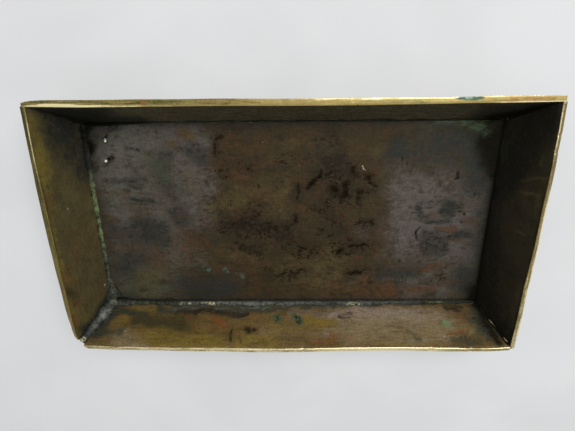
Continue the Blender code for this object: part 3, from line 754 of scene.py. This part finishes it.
            (0, -0.4), (0.05, -0.4), (0.1, -0.25), (0.16, 0), (0.45, -0.05), (0.8, -0.05), (1, 0.1)],
        "gold": [(0, 0.55), (0.1, 0.45), (0.3, 0.36), (0.5, 0.28), (0.7, 0.18), (1, 0.14)],
        "lineWide": [(0, 0.16), (1, 0.16)],
        "line": [
            (0, 0.5), (0.1, 0.45), (0.5, 0.4), (0.65, 0.42), (0.75, 0.5), (0.85, 0.65), (0.93, 0.7),
            (1, 0.5)],
        "bareness": [(0, 0.6), (0.3, 0.65), (0.5, 0.8), (0.7, 1), (1, 1)],
        "look": {
            **endGrain, "brown": (75, 66, 41), "olive": (81, 74, 45), "warm": (82, 67, 40),
            "cool": (67, 62, 41), "grain": 0.21, "slateAndShade": (34, 35, 31), "rust": (98, 68, 40),
            "gold": (104, 92, 42), "green": (66, 74, 34)},
        "marks": {
            # slate near the wall's two ends is painted shade in the corners; elsewhere it is patina
            "slateAndShade": [
                (3.5, 0.8, 45, 13, 40, 4), (6, 0.6, 42, 12, 34, 3), (6, 0.65, 36, 9, 26, 3),
                (5, 0.5, 28, 5, 20, 2), (4, 0.35, 20, 3, 14, 1.5), (5, 0.2, 34, 14, 26, 9),
                (3, 0.5, -23, 19, -27, 16.5), (3, 0.6, -42, 18, -46, 16), (2.5, 0.4, 15.5, 15.5, 13.5, 14),
                (2.8, 0.9, -37, 3, -46, 16)],
            "gold": [
                (3, 0.8, 43, 17.5, 24, 18), (3, 0.6, 18, 18, 12, 17.5), (3, 0.4, -20, 17, -40, 17),
                (1.3, 0.8, -10, 19.2, -45, 19.2), (1.2, 0.6, 28, 19.3, -10, 19.3)],
            "rust": [
                (2, 0.7, 16, 18.5, 13.5, 18), (3, 0.55, -15.5, 16, -19.5, 18.5),
                (1.6, 0.7, -28.5, 16, -32.5, 16), (1.2, 0.8, -35, 19, -40, 19.2), (4, 0.3, -5, 6, -12.5, 5),
                (2.5, 0.25, 0, 14, -12, 12)],
            "green": [
                (0.5, 0.6, 13, 14.6), (0.5, 0.6, 11, 13.4), (0.4, 0.6, 15.4, 15.5), (0.4, 0.5, 29, 12)],
            "smoke": [
                (1.2, 0.6, 20, 1.5, -38, 1.5), (1.4, 0.7, -24.4, 18, -26, 17.6), (1.0, 0.6, -30.6, 16.5),
                (0.8, 0.5, -15.4, 16.6)],
            "glint": [
                (0.4, 0.4, 37.5, 11.3), (0.35, 0.35, 19.5, 10.2), (0.4, 0.5, 9.4, 12.2),
                (0.4, 0.5, -12, 4.5), (0.4, 0.6, -28.6, 4.7)]}},
    "right": {
        "node": "right_end_wall", "outward": (1, 0), "seed": 14, "slope": 0.4,
        "bow": [(0, 0.0), (0.2, 0.8), (0.5, 1.7), (0.75, 1.5), (0.88, 1.1), (1, 0.6)],
        "innerLip": [(0, -0.15), (0.3, -0.25), (0.62, -0.25), (0.75, 0.0), (0.9, 0.2), (1, 0.3)],
        "outerLip": [(0, 0.0), (0.3, -0.1), (0.5, -0.4), (0.8, -0.2), (1, 0.0)],
        "gold": [(0, 0.68), (0.3, 0.6), (0.6, 0.5), (0.8, 0.44), (1, 0.48)],
        "lineWide": [(0, 0.27), (0.6, 0.25), (0.75, 0.2), (1, 0.2)],
        "line": [(0, 0.5), (0.6, 0.4), (0.75, 0.5), (0.83, 0.75), (0.9, 0.85), (1, 0.75)],
        "outerLine": [(0, 0.8), (0.3, 0.85), (0.6, 0.95), (0.75, 0.6), (1, 0.5)],
        "nicks": [(0.25, 0.6, 31.5), (0.2, 0.5, 37.2)],
        # this wall's tones are darker than the other walls' as painted shade: its inner face is turned away
        # from the lamp
        "look": {
            **endGrain, "brown": (52, 46, 34), "olive": (58, 53, 37), "warm": (56, 44, 31),
            "cool": (42, 40, 31), "slateAndShade": (29, 27, 20), "grain": 0.14, "gold": (78, 70, 40),
            "green": (40, 52, 38)},
        "marks": {
            # slate on this wall is painted shade darkening its ends and top, as well as patina
            "slateAndShade": [
                (9, 0.9, 44, 14, 22, 6), (5, 0.7, 20, 4, -35, 4), (6, 0.7, -38, 10, -46, 18),
                (8, 0.5, -20, 8, -42, 12), (5, 0.3, -3, 15, -18, 15)],
            "gold": [
                (0.8, 0.8, 19.3, 12.6, 20.9, 15.3, 21.5, 19.5),
                (0.7, 0.85, 14.5, 12.6, 14.2, 15.8, 13.9, 17.9), (0.7, 0.7, 25.6, 16.5, 28.7, 17.3),
                (0.5, 0.7, -0.5, 12.8, -0.4, 14.8), (0.5, 0.5, -13.5, 14, -11.2, 15.2),
                (1.6, 0.4, -30, 18.6, 20, 18.6)],
            # soot along the foot is painted shade where the wall meets the base plate, as well as dirt
            "sootAndShade": [(3.5, 0.6, 42, 0, -38, 0)],
            "green": [(0.8, 0.7, 32, 2.4, 23, 3.4), (0.6, 0.6, 30, 4, 25, 4.6)],
            "glint": [(0.35, 0.7, 47.9, 20.3, 48, 21.4)]}},
}


def cutCorner(z):
    # the front left corner ends on a line of fixed x + y, cut deeper towards the rim: minus that sum
    cut = math.sqrt(2) * clipRim * np.clip((z - clipFoot) / (rimZ - clipFoot), 0, 1)
    return halfX + halfY - 2 * (rimZ - z) * math.tan(flare) - cut


def wallEnds(side, z, offset):
    # where a wall starts and stops along its length, at each height and distance from the middle
    lean = (rimZ - z) * math.tan(flare)
    reachX, reachY = halfX - lean, halfY - lean
    if side == "back":
        return -reachX, reachX
    if side == "front":
        return np.maximum(-(reachX - rimWide), offset - cutCorner(z)), reachX - rimWide
    if side == "left":
        return np.maximum(-reachY, offset - cutCorner(z)), reachY - rimWide
    return -reachY, reachY - rimWide


def rimLayers(side, settings, u, v, w):
    # inside fades through the sheet; bare is the rim's share or the cut corner's, and the rim's shine,
    # partly painted highlight, is that of the whole rim or of a bright line, whichever is more
    sheet = wallSheet
    atCut = easeStep(*sheet["cutAlong"], u) * sheet["cutBare"] * easeStep(*sheet["cutUp"], v)
    bare = easeStep(*sheet["bareUp"], v) * easeAlong(settings["bareness"], u)
    fromLine = w - easeAlong(settings["lineWide"], u)
    line = easeAlong(settings["line"], u) * easeStep(*sheet["lineEdge"], fromLine)
    outerLine = easeAlong(settings["outerLine"], u) * easeStep(*sheet["outerThrough"], w)
    return {"inside": 1 - w, "bare": np.maximum(bare, atCut) if side in ("left", "front") else bare,
            "polishAndHighlight": np.maximum.reduce([easeAlong(settings["gold"], u), line, outerLine])}


def wornEdges(piece):
    # rounds the sheet's sharp edges with a narrow bevel
    wear = piece.modifiers.new("wornEdges", "BEVEL")
    wear.width = edgeWear["width"] * mm
    wear.segments = edgeWear["segments"]
    wear.limit_method = "ANGLE"
    wear.angle_limit = math.radians(edgeWear["angleDeg"])
    return piece


def makeWall(side, settings, material):
    # a leaning slab: u along the wall, v from its foot to the rim, w from the inner to the outer face
    sheet, seed = wallSheet, settings["seed"]
    long = side in ("back", "front")
    us = np.linspace(0, 1, int(2 * (halfX if long else halfY) / (sheet["step"] * mm)))
    vs = np.append(np.linspace(0, sheet["rimUp"], sheet["rows"]), sheet["rimRows"])
    u, v, w, faces = blockSkin(us, vs, sheet["through"])
    z = v * rimZ
    offset = (halfY if long else halfX) - (rimZ - z) * math.tan(flare) - (1 - w) * rimWide
    low, high = wallEnds(side, z, offset)
    along = low + (high - low) * u
    # marks lie on the sheet as if it were unrolled: up its inner face, over the rim and down its outer face
    unrolled = z + w * rimWide + 2 * easeStep(*sheet["outsideThrough"], w) * (rimZ - z)
    ragged = 1 - sheet["steadyRim"] * easeStep(*sheet["steadyUp"], v)
    layers = patinaLayers(along, unrolled, settings["marks"], seed + sheet["marksSeed"], ragged)
    # the whole sheet bows and waves, most at the rim; its inner face has small dents
    (wave, waveCell), (dent, dentCell), (ripple, rippleCell) = sheet["wave"], sheet["dent"], sheet["rimWave"]
    bend = easeAlong(settings["bow"], u) * v
    bend = bend + wave * softNoise(along, z, waveCell * mm, seed) * easeStep(*sheet["waveUp"], v)
    dents = dent * softNoise(along, z, dentCell * mm, seed + sheet["dentSeed"])
    dents = dents + sheet["pitDepth"] * layers.get("pit", 0)
    bend = bend + dents * (1 - w) * easeStep(*sheet["dentUp"], v)
    offset = offset + bend * math.cos(flare) * mm
    # the rim's two edges are worn or hammered out of line, and its top slopes down to the outer one
    atRim = easeStep(*sheet["lipUp"], v)
    lip = easeAlong(settings["innerLip"], u) * (1 - w) + easeAlong(settings["outerLip"], u) * w
    offset = offset + lip * atRim * mm
    z = z - settings["slope"] * easeStep(*sheet["slopeThrough"], w) * atRim * mm
    ripples = ripple * softNoise(along, 0 * along, rippleCell * mm, seed + sheet["rimSeed"])
    z = z + ripples * atRim * mm
    for depth, width, place in settings["nicks"]:
        z = z - depth * mm * np.exp(-((along - place * mm) / (width * mm)) ** 2) * atRim
    tangent = np.array([1.0, 0.0]) if long else np.array([0.0, 1.0])
    points = np.column_stack([offset[:, None] * np.array(settings["outward"]) + along[:, None] * tangent, z])
    layers.update(rimLayers(side, settings, u, v, w))
    faces = facingOut(points, faces).tolist()
    piece = makePiece(side + "Wall", points, faces, layers, settings["node"], material)
    return wornEdges(piece)


for side, settings in wallShape.items():
    wallBrass = agedBrass(side + "WallBrass", dict(brassShared, **settings["look"]), settings["marks"])
    makeWall(side, dict(wallPlain, **settings), wallBrass)
print("walls made")

# Solder beads

solderLook = {"base": (54, 55, 48), "sooty": (22, 23, 19), "pale": (106, 108, 98), "green": (98, 112, 68),
              "glint": (184, 178, 138), "stir": 1.0, "clean": (0.38, 0.62),
              "speckled": (0.4, 0.56, 0.35, 0.0), "metallic": (0.3, 0.9, 0.3, 1.0), "specular": 0.3,
              "rough": (0.35, 0.65, 0.45, 0.68), "bump": (0.6, 0.2)}
# the solder's noises, as width in millimetres, seed and detail, and its layers in patinaOrder's terms
solderNoise = {"patch": (2.4, 5.0, 4.0), "grain": (0.7, 6.0, 5.0)}
solderOrder = {"sooty": (1.6, 1.2, 0.0, 1.0), "pale": (1.6, 1.4, 0.0, 1.0), "green": (1.8, 1.6, 0.05, 1.0),
               "glint": (1.4, 2.8, 0.28, 0.85)}


def greySolder(name, look):
    # dull grey solder, lumpy and dirty, with pale rubbed places that carry a painted highlight along the
    # crest, green corrosion and a few bright specks that are partly painted highlights
    material, tree, shader, coords = newMaterial(name)
    patch, grain = (noiseField(tree, coords, *solderNoise[key]) for key in ("patch", "grain"))
    color = tinted(tree, shade(*look["sooty"]), ramp(tree, patch, *look["clean"]), look["base"])
    color = stained(tree, color, look, solderOrder, solderOrder, patch, grain)
    color = tinted(tree, color, ramp(tree, grain, *look["speckled"]), look["sooty"])
    tree.links.new(color, shader.inputs["Base Color"])
    tree.links.new(ramp(tree, layerValue(tree, "sooty"), *look["metallic"]), shader.inputs["Metallic"])
    shader.inputs["Specular IOR Level"].default_value = look["specular"]
    tree.links.new(ramp(tree, grain, *look["rough"]), shader.inputs["Roughness"])
    addBump(tree, shader, grain, *look["bump"])
    return material


# How every bead is cut into a grid and swells. Sizes are in millimetres, waves are (height, cell); hollow is
# a share of its smaller leg, taper its end's size and how far along that reaches, edgeDarkening how much
# darker it is towards its edges.
beadSkin = {"step": 0.4, "across": 13, "swellCell": 3.5, "ripple": (0.12, 1.3), "lump": (0.10, 1.6),
            "lumpAcross": 3, "hollow": 0.16, "tuck": 0.06, "sunk": 0.25, "taper": (0.35, 0.02),
            "edgeDarkening": 0.8, "belowRim": 0.7}
# a bead that says nothing else has these
nowhere = [(0, 0), (1, 0)]
beadPlain = {"bow": (0.0, 0.0), "lumpy": 0.22, "pale": nowhere, "green": nowhere, "glint": nowhere}
# Each list is (place from 0 to 1 along the bead, value): legA and legB are its reach in millimetres on its
# two sheets; crest is where across it, and how widely, its pale, green and bright places lie, the pale and
# bright ones partly a painted highlight on the ridge; bow is how far those two sheets lean out at the rim.
beadShape = {
    "backFloor": {
        "node": "back_floor_solder", "seed": 81, "crest": (0.25, 0.3),
        "legA": [(0, 1.5), (0.08, 1.1), (0.16, 0.65), (0.5, 0.55), (0.7, 0.4), (0.9, 0.4), (1, 0.7)],
        "legB": [(0, 1.5), (0.08, 1.1), (0.18, 0.35), (0.9, 0.35), (1, 0.6)],
        "sooty": [(0, 1), (0.12, 0.8), (0.2, 0.3), (0.45, 0.3), (0.8, 0.4), (1, 0.9)],
        "pale": [(0, 0), (0.12, 0.15), (0.2, 0.45), (0.4, 0.4), (0.6, 0.2), (1, 0)],
        "green": [
            (0, 0), (0.12, 0.2), (0.4, 0.25), (0.6, 0.1), (0.8, 0.1), (0.86, 0.4), (0.95, 0.4), (1, 0.1)],
        "glint": [(0, 0), (0.4, 0), (0.405, 0.6), (0.41, 0), (1, 0)]},
    "frontFloor": {
        "node": "front_floor_solder", "seed": 82, "crest": (0.72, 0.3),
        "legA": [(0, 3.0), (0.06, 1.6), (0.12, 0.8), (0.5, 0.8), (1, 0.8)],
        "legB": [(0, 2.6), (0.1, 2.0), (0.2, 2.1), (0.5, 2.3), (0.7, 2.1), (0.8, 1.5), (1, 1.1)],
        "sooty": [
            (0, 0.5), (0.15, 0.6), (0.2, 0.2), (0.5, 0.2), (0.58, 0.4), (0.66, 0.2), (0.75, 0.4), (0.9, 0.7),
            (1, 0.9)],
        "pale": [
            (0, 0.3), (0.12, 0.2), (0.2, 0.45), (0.3, 0.6), (0.4, 0.55), (0.55, 0.5), (0.6, 0.3),
            (0.68, 0.5), (0.78, 0.25), (1, 0.1)],
        "green": [
            (0, 0.2), (0.08, 0.3), (0.15, 0.3), (0.22, 0.1), (0.85, 0.15), (0.9, 0.5), (0.93, 0.2),
            (1, 0.1)],
        "glint": [
            (0, 0), (0.17, 0), (0.19, 0.35), (0.23, 0.35), (0.255, 0.45), (0.285, 0.55), (0.295, 0),
            (0.64, 0), (0.65, 0.4), (0.68, 0.5), (0.69, 0), (1, 0)]},
    "leftFloor": {
        "node": "left_floor_solder", "seed": 83, "crest": (0.5, 0.6),
        "legA": [(0, 1.6), (0.2, 1.5), (0.28, 1.0), (0.8, 0.9), (1, 2.8)],
        "legB": [(0, 1.6), (0.2, 1.5), (0.28, 1.1), (0.8, 1.1), (1, 2.8)],
        "sooty": [(0, 0.9), (0.2, 0.7), (0.28, 0.3), (0.85, 0.3), (1, 0.5)],
        "pale": [(0, 0), (0.1, 0), (0.15, 0.2), (0.2, 0.1), (0.6, 0.1), (0.8, 0.25), (1, 0.3)],
        "green": [
            (0, 0), (0.2, 0.1), (0.27, 0.35), (0.36, 0.85), (0.45, 0.85), (0.5, 0.5), (0.56, 0.75),
            (0.62, 0.65), (0.7, 0.4), (0.85, 0.25), (1, 0.1)]},
    "rightFloor": {
        "node": "right_floor_solder", "seed": 84, "crest": (0.5, 0.4),
        "legA": [(0, 0.5), (0.3, 0.4), (0.8, 0.4), (1, 0.7)],
        "legB": [(0, 0.5), (0.3, 0.4), (0.8, 0.4), (1, 0.7)], "sooty": [(0, 0.9), (0.4, 0.85), (1, 0.8)],
        "green": [(0, 0.1), (0.2, 0.1), (0.3, 0), (1, 0)]},
    "backLeftCorner": {
        "node": "back_left_corner_solder", "seed": 85, "crest": (0.5, 0.3), "bow": (-0.1, 0.65),
        "legA": [(0, 0.7), (1, 0.35)], "legB": [(0, 0.7), (1, 0.35)],
        "sooty": [(0, 0.9), (0.4, 0.4), (1, 0)], "pale": [(0, 0), (0.8, 0.1), (0.92, 0.5), (1, 0.5)],
        "green": [(0, 0.1), (1, 0)]},
    "backRightCorner": {
        "node": "back_right_corner_solder", "seed": 86, "crest": (0.5, 0.3), "bow": (-0.1, 0.65),
        "legA": [(0, 0.7), (1, 0.35)], "legB": [(0, 0.7), (1, 0.35)], "sooty": [(0, 0.95), (1, 0.6)],
        "green": [(0, 0.2), (0.3, 0), (1, 0)], "glint": [(0, 0), (0.05, 0), (0.08, 0.7), (0.11, 0), (1, 0)]},
    "frontLeftCorner": {
        "node": "front_left_corner_solder", "seed": 87, "crest": (0.5, 0.36), "bow": (0.55, 0.1),
        "lumpy": 0.16,
        "legA": [(0, 4.6), (0.3, 3.8), (0.7, 2.6), (1, 1.4)],
        "legB": [(0, 4.2), (0.3, 3.4), (0.7, 2.4), (1, 1.4)],
        "sooty": [(0, 0.45), (0.15, 0.1), (0.5, 0.1), (0.8, 0.3), (1, 0.4)],
        "pale": [
            (0, 0.15), (0.12, 0.3), (0.2, 0.5), (0.3, 0.7), (0.4, 0.7), (0.5, 0.5), (0.65, 0.35),
            (0.75, 0.2), (1, 0.2)],
        "green": [(0, 0.3), (0.2, 0.15), (1, 0)],
        "glint": [(0, 0), (0.86, 0), (0.92, 0.4), (0.97, 0.6), (1, 0.6)]},
    "frontRightCorner": {
        "node": "front_right_corner_solder", "seed": 88, "crest": (0.5, 0.25), "bow": (0.8, 0.05),
        "legA": [(0, 1.0), (1, 0.6)], "legB": [(0, 1.0), (1, 0.6)], "sooty": [(0, 0.85), (1, 0.85)],
        "pale": [(0, 0.1), (0.5, 0.2), (1, 0.2)],
        "glint": [
            (0, 0), (0.4, 0), (0.46, 0.5), (0.57, 0.8), (0.63, 0.2), (0.8, 0), (0.88, 0.5), (0.93, 0.8),
            (0.97, 0.3), (1, 0)]},
}


def seamPoint(signX, signY, z):
    # the inner corner where two walls meet, at height z
    lean = (rimZ - z) * math.tan(flare)
    return np.array([signX * (halfX - lean - rimWide), signY * (halfY - lean - rimWide), z])


def beadPath(name):
    # a bead's two end points, and the directions of its two legs along the sheets it joins
    corners = {"backLeft": (-1, 1), "backRight": (1, 1), "frontLeft": (-1, -1), "frontRight": (1, -1)}
    if name.endswith("Corner"):
        sx, sy = corners[name.replace("Corner", "")]
        topZ = rimZ - beadSkin["belowRim"] * mm
        return seamPoint(sx, sy, sheetThick), seamPoint(sx, sy, topZ), (-sx, 0, 0), (0, -sy, 0)
    ends = {"back": ("backLeft", "backRight"), "front": ("frontLeft", "frontRight"),
            "left": ("backLeft", "frontLeft"), "right": ("backRight", "frontRight")}
    first, last = (np.array(corners[end]) for end in ends[name.replace("Floor", "")])
    outward = np.append((first + last) / 2, 0)
    upWall = outward * math.sin(flare) + np.array([0, 0, math.cos(flare)])
    return seamPoint(*first, sheetThick), seamPoint(*last, sheetThick), -outward, upWall


def beadRings(name, settings, s, t):
    # a hollow fillet carried along the seam: at each place s a curve over t bends from one leg's end to the
    # other's, and a last point sunk in the sheets closes the ring
    skin, seed = beadSkin, settings["seed"]
    start, end, sideA, sideB = (np.array(part, float) for part in beadPath(name))
    run = s * np.linalg.norm(end - start)
    (ripple, rippleCell), (lump, lumpCell), (thin, thinFor) = skin["ripple"], skin["lump"], skin["taper"]
    swell = 1 + settings["lumpy"] * softNoise(run, 0 * s, skin["swellCell"] * mm, seed)
    swell = swell + ripple * softNoise(run, t * mm, rippleCell * mm, seed + 1)
    taper = thin + (1 - thin) * easeStep(0.0, thinFor, s) * easeStep(1.0, 1 - thinFor, s)
    legA = easeAlong(settings["legA"], s) * mm * swell * taper
    legB = easeAlong(settings["legB"], s) * mm * swell[:, ::-1] * taper
    lumps = softNoise(run, t * skin["lumpAcross"] * mm, lumpCell * mm, seed + 2)
    lumps = lump * mm * lumps * np.sin(np.pi * t)
    belly = (skin["hollow"] * np.minimum(legA, legB) + lumps) * 2 * t * (1 - t)
    partA = legA * (1 - t) ** 2 + belly - skin["tuck"] * mm * t
    partB = legB * t ** 2 + belly - skin["tuck"] * mm * (1 - t)
    seam = start + (end - start) * s[..., None]
    # up the corners the sheets bow away from the seam, and the bead goes with them
    bowA, bowB = settings["bow"]
    lean = seam[..., 2] / rimZ * math.cos(flare) * mm
    partA = partA - bowB * lean * t
    partB = partB - bowA * lean * (1 - t)
    if name == "frontLeftCorner":
        # where the corner is cut away the bead bridges the ends of the two sheets
        gap = np.maximum(-seam[..., 0] - seam[..., 1] - cutCorner(seam[..., 2]), 0.0) / 2
        seam = seam + gap[..., None] * (sideA + sideB)
        partA = partA + gap * (1 - 2 * t)
        partB = partB - gap * (1 - 2 * t)
    rings = seam + partA[..., None] * sideA + partB[..., None] * sideB
    sunk = seam[:, :1] - skin["sunk"] * mm * (sideA + sideB)
    return np.concatenate([rings, sunk], axis=1)


def makeBead(name, settings, material):
    # the rings of a bead joined into a skin with flat ends; its layers run along it and fade from its crest
    start, end = beadPath(name)[:2]
    along = np.linspace(0, 1, int(np.linalg.norm(end - start) / (beadSkin["step"] * mm)))
    across = np.linspace(0, 1, beadSkin["across"])
    rings = beadRings(name, settings, *np.meshgrid(along, across, indexing="ij"))
    index = np.arange(rings.shape[0] * rings.shape[1]).reshape(rings.shape[:2])
    # the quads of a ring that turns the other way, turned back where the seam does too
    points, quads = rings.reshape(-1, 3), gridQuads(index)[:, [0, 3, 2, 1]]
    turned = not np.array_equal(facingOut(points - points.mean(0), quads), quads)
    caps = [index[0].tolist(), index[-1][::-1].tolist()]
    faces = (quads[:, ::-1] if turned else quads).tolist() + [cap[::-1] if turned else cap for cap in caps]
    crestAt, crestWide = settings["crest"]
    crest = np.append(np.exp(-((across - crestAt) / crestWide) ** 2), 0.0)
    sooty = np.maximum(easeAlong(settings["sooty"], along)[:, None], beadSkin["edgeDarkening"] * (1 - crest))
    layers = {"sooty": sooty.ravel()}
    for key in ("pale", "green", "glint"):
        layers[key] = (easeAlong(settings[key], along)[:, None] * crest).ravel()
    return makePiece(name + "Solder", points, faces, layers, settings["node"], material)


solderGrey = greySolder("solderGrey", solderLook)
for name, settings in beadShape.items():
    makeBead(name, dict(beadPlain, **settings), solderGrey)
print("solder beads made")

# Pins

pinLook = {"dark": (24, 20, 14), "light": (52, 46, 36), "tip": (204, 204, 196), "noise": (0.5, 8.0, 4.0),
           "stain": (0.4, 0.6), "metallic": (0, 1, 0.5, 0.35), "rough": (0.4, 0.6, 0.3, 0.5),
           "bump": (0.4, 0.05)}
# how both wires are cut into a grid: capFrom is where the rounded end begins, sunk how deep they stand (mm)
pinSkin = {"around": 20, "rows": 12, "capRows": 7, "capFrom": 0.86, "capStart": 0.15, "capOver": 0.15,
           "bend": 1.4, "sunk": 0.6, "brightOver": 0.2}
# sizes in millimetres; brightFrom is the share of the height from which the wire is bright: bare clipped
# metal with a painted highlight
pinShape = {
    "upperPin": {
        "node": "upper_pin", "radius": 0.5, "foot": (-70.9, 33.8), "lean": (0.8, -1.1), "tall": 3.0,
        "brightFrom": 0.55},
    "lowerPin": {
        "node": "lower_pin", "radius": 0.62, "foot": (-70.9, 25.4), "lean": (0.1, -0.1), "tall": 4.0,
        "brightFrom": 0.75},
}


def pinSteel(name, look):
    # dull wire with brown staining, and a bright end: bare clipped metal with a painted highlight
    material, tree, shader, coords = newMaterial(name)
    grain = noiseField(tree, coords, *look["noise"])
    color = tinted(tree, shade(*look["dark"]), ramp(tree, grain, *look["stain"]), look["light"])
    tip = layerValue(tree, "tip")
    color = tinted(tree, color, tip, look["tip"])
    tree.links.new(color, shader.inputs["Base Color"])
    tree.links.new(ramp(tree, tip, *look["metallic"]), shader.inputs["Metallic"])
    tree.links.new(ramp(tree, grain, *look["rough"]), shader.inputs["Roughness"])
    addBump(tree, shader, grain, *look["bump"])
    return material


def makePin(name, settings, material):
    # a thin round wire: its middle line leans and bends as it rises, and its end is rounded over
    skin, capFrom = pinSkin, pinSkin["capFrom"]
    around = np.linspace(0, 2 * np.pi, skin["around"], endpoint=False)
    cap = np.sin(np.linspace(skin["capStart"], 1, skin["capRows"]) * np.pi / 2)
    rise = np.append(np.linspace(0, capFrom, skin["rows"]), capFrom + (1 - capFrom) * cap)
    roundOver = np.sqrt(np.clip(1 - ((rise - capFrom) / skin["capOver"]) ** 2, 0, 1))
    radius = settings["radius"] * mm * np.where(rise < capFrom, 1, roundOver)
    foot, lean = np.array(settings["foot"]) * mm, np.array(settings["lean"]) * mm
    middle = foot + lean * (rise ** skin["bend"])[:, None]
    z = sheetThick + (rise * (settings["tall"] + skin["sunk"]) - skin["sunk"]) * mm
    x = middle[:, :1] + radius[:, None] * np.cos(around)
    y = middle[:, 1:] + radius[:, None] * np.sin(around)
    points = np.stack([x, y, np.broadcast_to(z[:, None], x.shape)], -1).reshape(-1, 3)
    index = np.arange(x.size).reshape(x.shape)
    faces = gridQuads(index).tolist() + [index[0][::-1].tolist(), index[-1].tolist()]
    bright = easeStep(settings["brightFrom"], settings["brightFrom"] + skin["brightOver"], rise)
    layers = {"tip": np.repeat(bright, around.size)}
    return makePiece(name, points, faces, layers, settings["node"], material)


pinWire = pinSteel("pinWire", pinLook)
for name, settings in pinShape.items():
    makePin(name, settings, pinWire)
print("pins made")

# Stage: a pale matt floor, a large soft lamp over the back right corner, and a weak fill from all round

stageLook = {"pale": (220, 221, 222), "dim": 0.94, "noise": (60.0, 9.0, 2.0), "tone": (0.3, 0.7),
             "rough": 0.9, "ownLight": 0.5, "reach": 3.0, "fill": 0.35, "keyPower": 8.4,
             "keyPlace": (0.29, 0.45, 0.74), "keySize": 0.6}


def paleMatt(name, look):
    # a pale matt face: half of what the camera sees of it is its own colour, so that its shadows stay faint
    material, tree, shader, coords = newMaterial(name)
    pale = shade(*look["pale"])
    dim = (*(look["dim"] * value for value in pale[:3]), 1.0)
    color = mixColor(tree, ramp(tree, noiseField(tree, coords, *look["noise"]), *look["tone"]), dim, pale)
    tree.links.new(color, shader.inputs["Base Color"])
    shader.inputs["Roughness"].default_value = look["rough"]
    glow = addNode(tree, "ShaderNodeEmission", {"Color": color})
    path = addNode(tree, "ShaderNodeLightPath")
    seen = calc(tree, "MAXIMUM", path.outputs["Is Camera Ray"], path.outputs["Is Glossy Ray"])
    share = calc(tree, "MULTIPLY", seen, look["ownLight"])
    blend = addNode(tree, "ShaderNodeMixShader", {0: share, 1: shader.outputs[0], 2: glow.outputs[0]})
    tree.links.new(blend.outputs[0], tree.nodes["Material Output"].inputs["Surface"])
    return material


reach = stageLook["reach"]
floorMesh = bpy.data.meshes.new("paleFloor")
floorCorners = [(-reach, -reach, 0), (reach, -reach, 0), (reach, reach, 0), (-reach, reach, 0)]
floorMesh.from_pydata(floorCorners, [], [(0, 1, 2, 3)])
paleFloor = bpy.data.objects.new("paleFloor", floorMesh)
bpy.context.scene.collection.objects.link(paleFloor)
floorMesh.materials.append(paleMatt("paleMatt", stageLook))

world = bpy.data.worlds.new("studio")
bpy.context.scene.world = world
world.use_nodes = True
world.node_tree.nodes["Background"].inputs["Color"].default_value = (1, 1, 1, 1)
world.node_tree.nodes["Background"].inputs["Strength"].default_value = stageLook["fill"]


def aim(thing, place, target, upward, rollDeg=0.0):
    # turns -Z of the thing to the target, with its Y as near to upward as it can be
    place, target = np.array(place, float), np.array(target, float)
    forward = (target - place) / np.linalg.norm(target - place)
    right = np.cross(forward, np.array(upward, float))
    right = right / np.linalg.norm(right)
    up = np.cross(right, forward)
    roll = math.radians(rollDeg)
    matrix = np.eye(4)
    matrix[:3, 0] = right * math.cos(roll) + up * math.sin(roll)
    matrix[:3, 1] = up * math.cos(roll) - right * math.sin(roll)
    matrix[:3, 2] = -forward
    matrix[:3, 3] = place
    thing.matrix_world = Matrix(matrix.tolist())


keyLight = bpy.data.lights.new("keyLamp", "AREA")
keyLight.shape = "DISK"
keyLight.size = stageLook["keySize"]
keyLight.energy = stageLook["keyPower"]
keyLamp = bpy.data.objects.new("keyLamp", keyLight)
bpy.context.scene.collection.objects.link(keyLamp)
aim(keyLamp, stageLook["keyPlace"], (0, 0, 0), (0, 0, 1))

# Camera: the tray lies flat here, so the camera stands over its back wall, turned with the photo

cameraView = {"place": (0.00245, 0.06974, 0.17234), "target": (-0.00178, 0.00066, 0.0), "rollDeg": -0.74,
              "focalPixels": 454.06, "frameWide": 575, "sensorWide": 36.0, "clipStart": 0.005}
camera = bpy.data.cameras.new("photoCamera")
camera.sensor_width = cameraView["sensorWide"]
camera.lens = cameraView["focalPixels"] / cameraView["frameWide"] * cameraView["sensorWide"]
camera.clip_start = cameraView["clipStart"]
viewer = bpy.data.objects.new("photoCamera", camera)
bpy.context.scene.collection.objects.link(viewer)
aim(viewer, cameraView["place"], cameraView["target"], (0, 1, 0), cameraView["rollDeg"])
bpy.context.scene.camera = viewer
bpy.context.scene.view_settings.view_transform = "Standard"
print("stage and camera set")
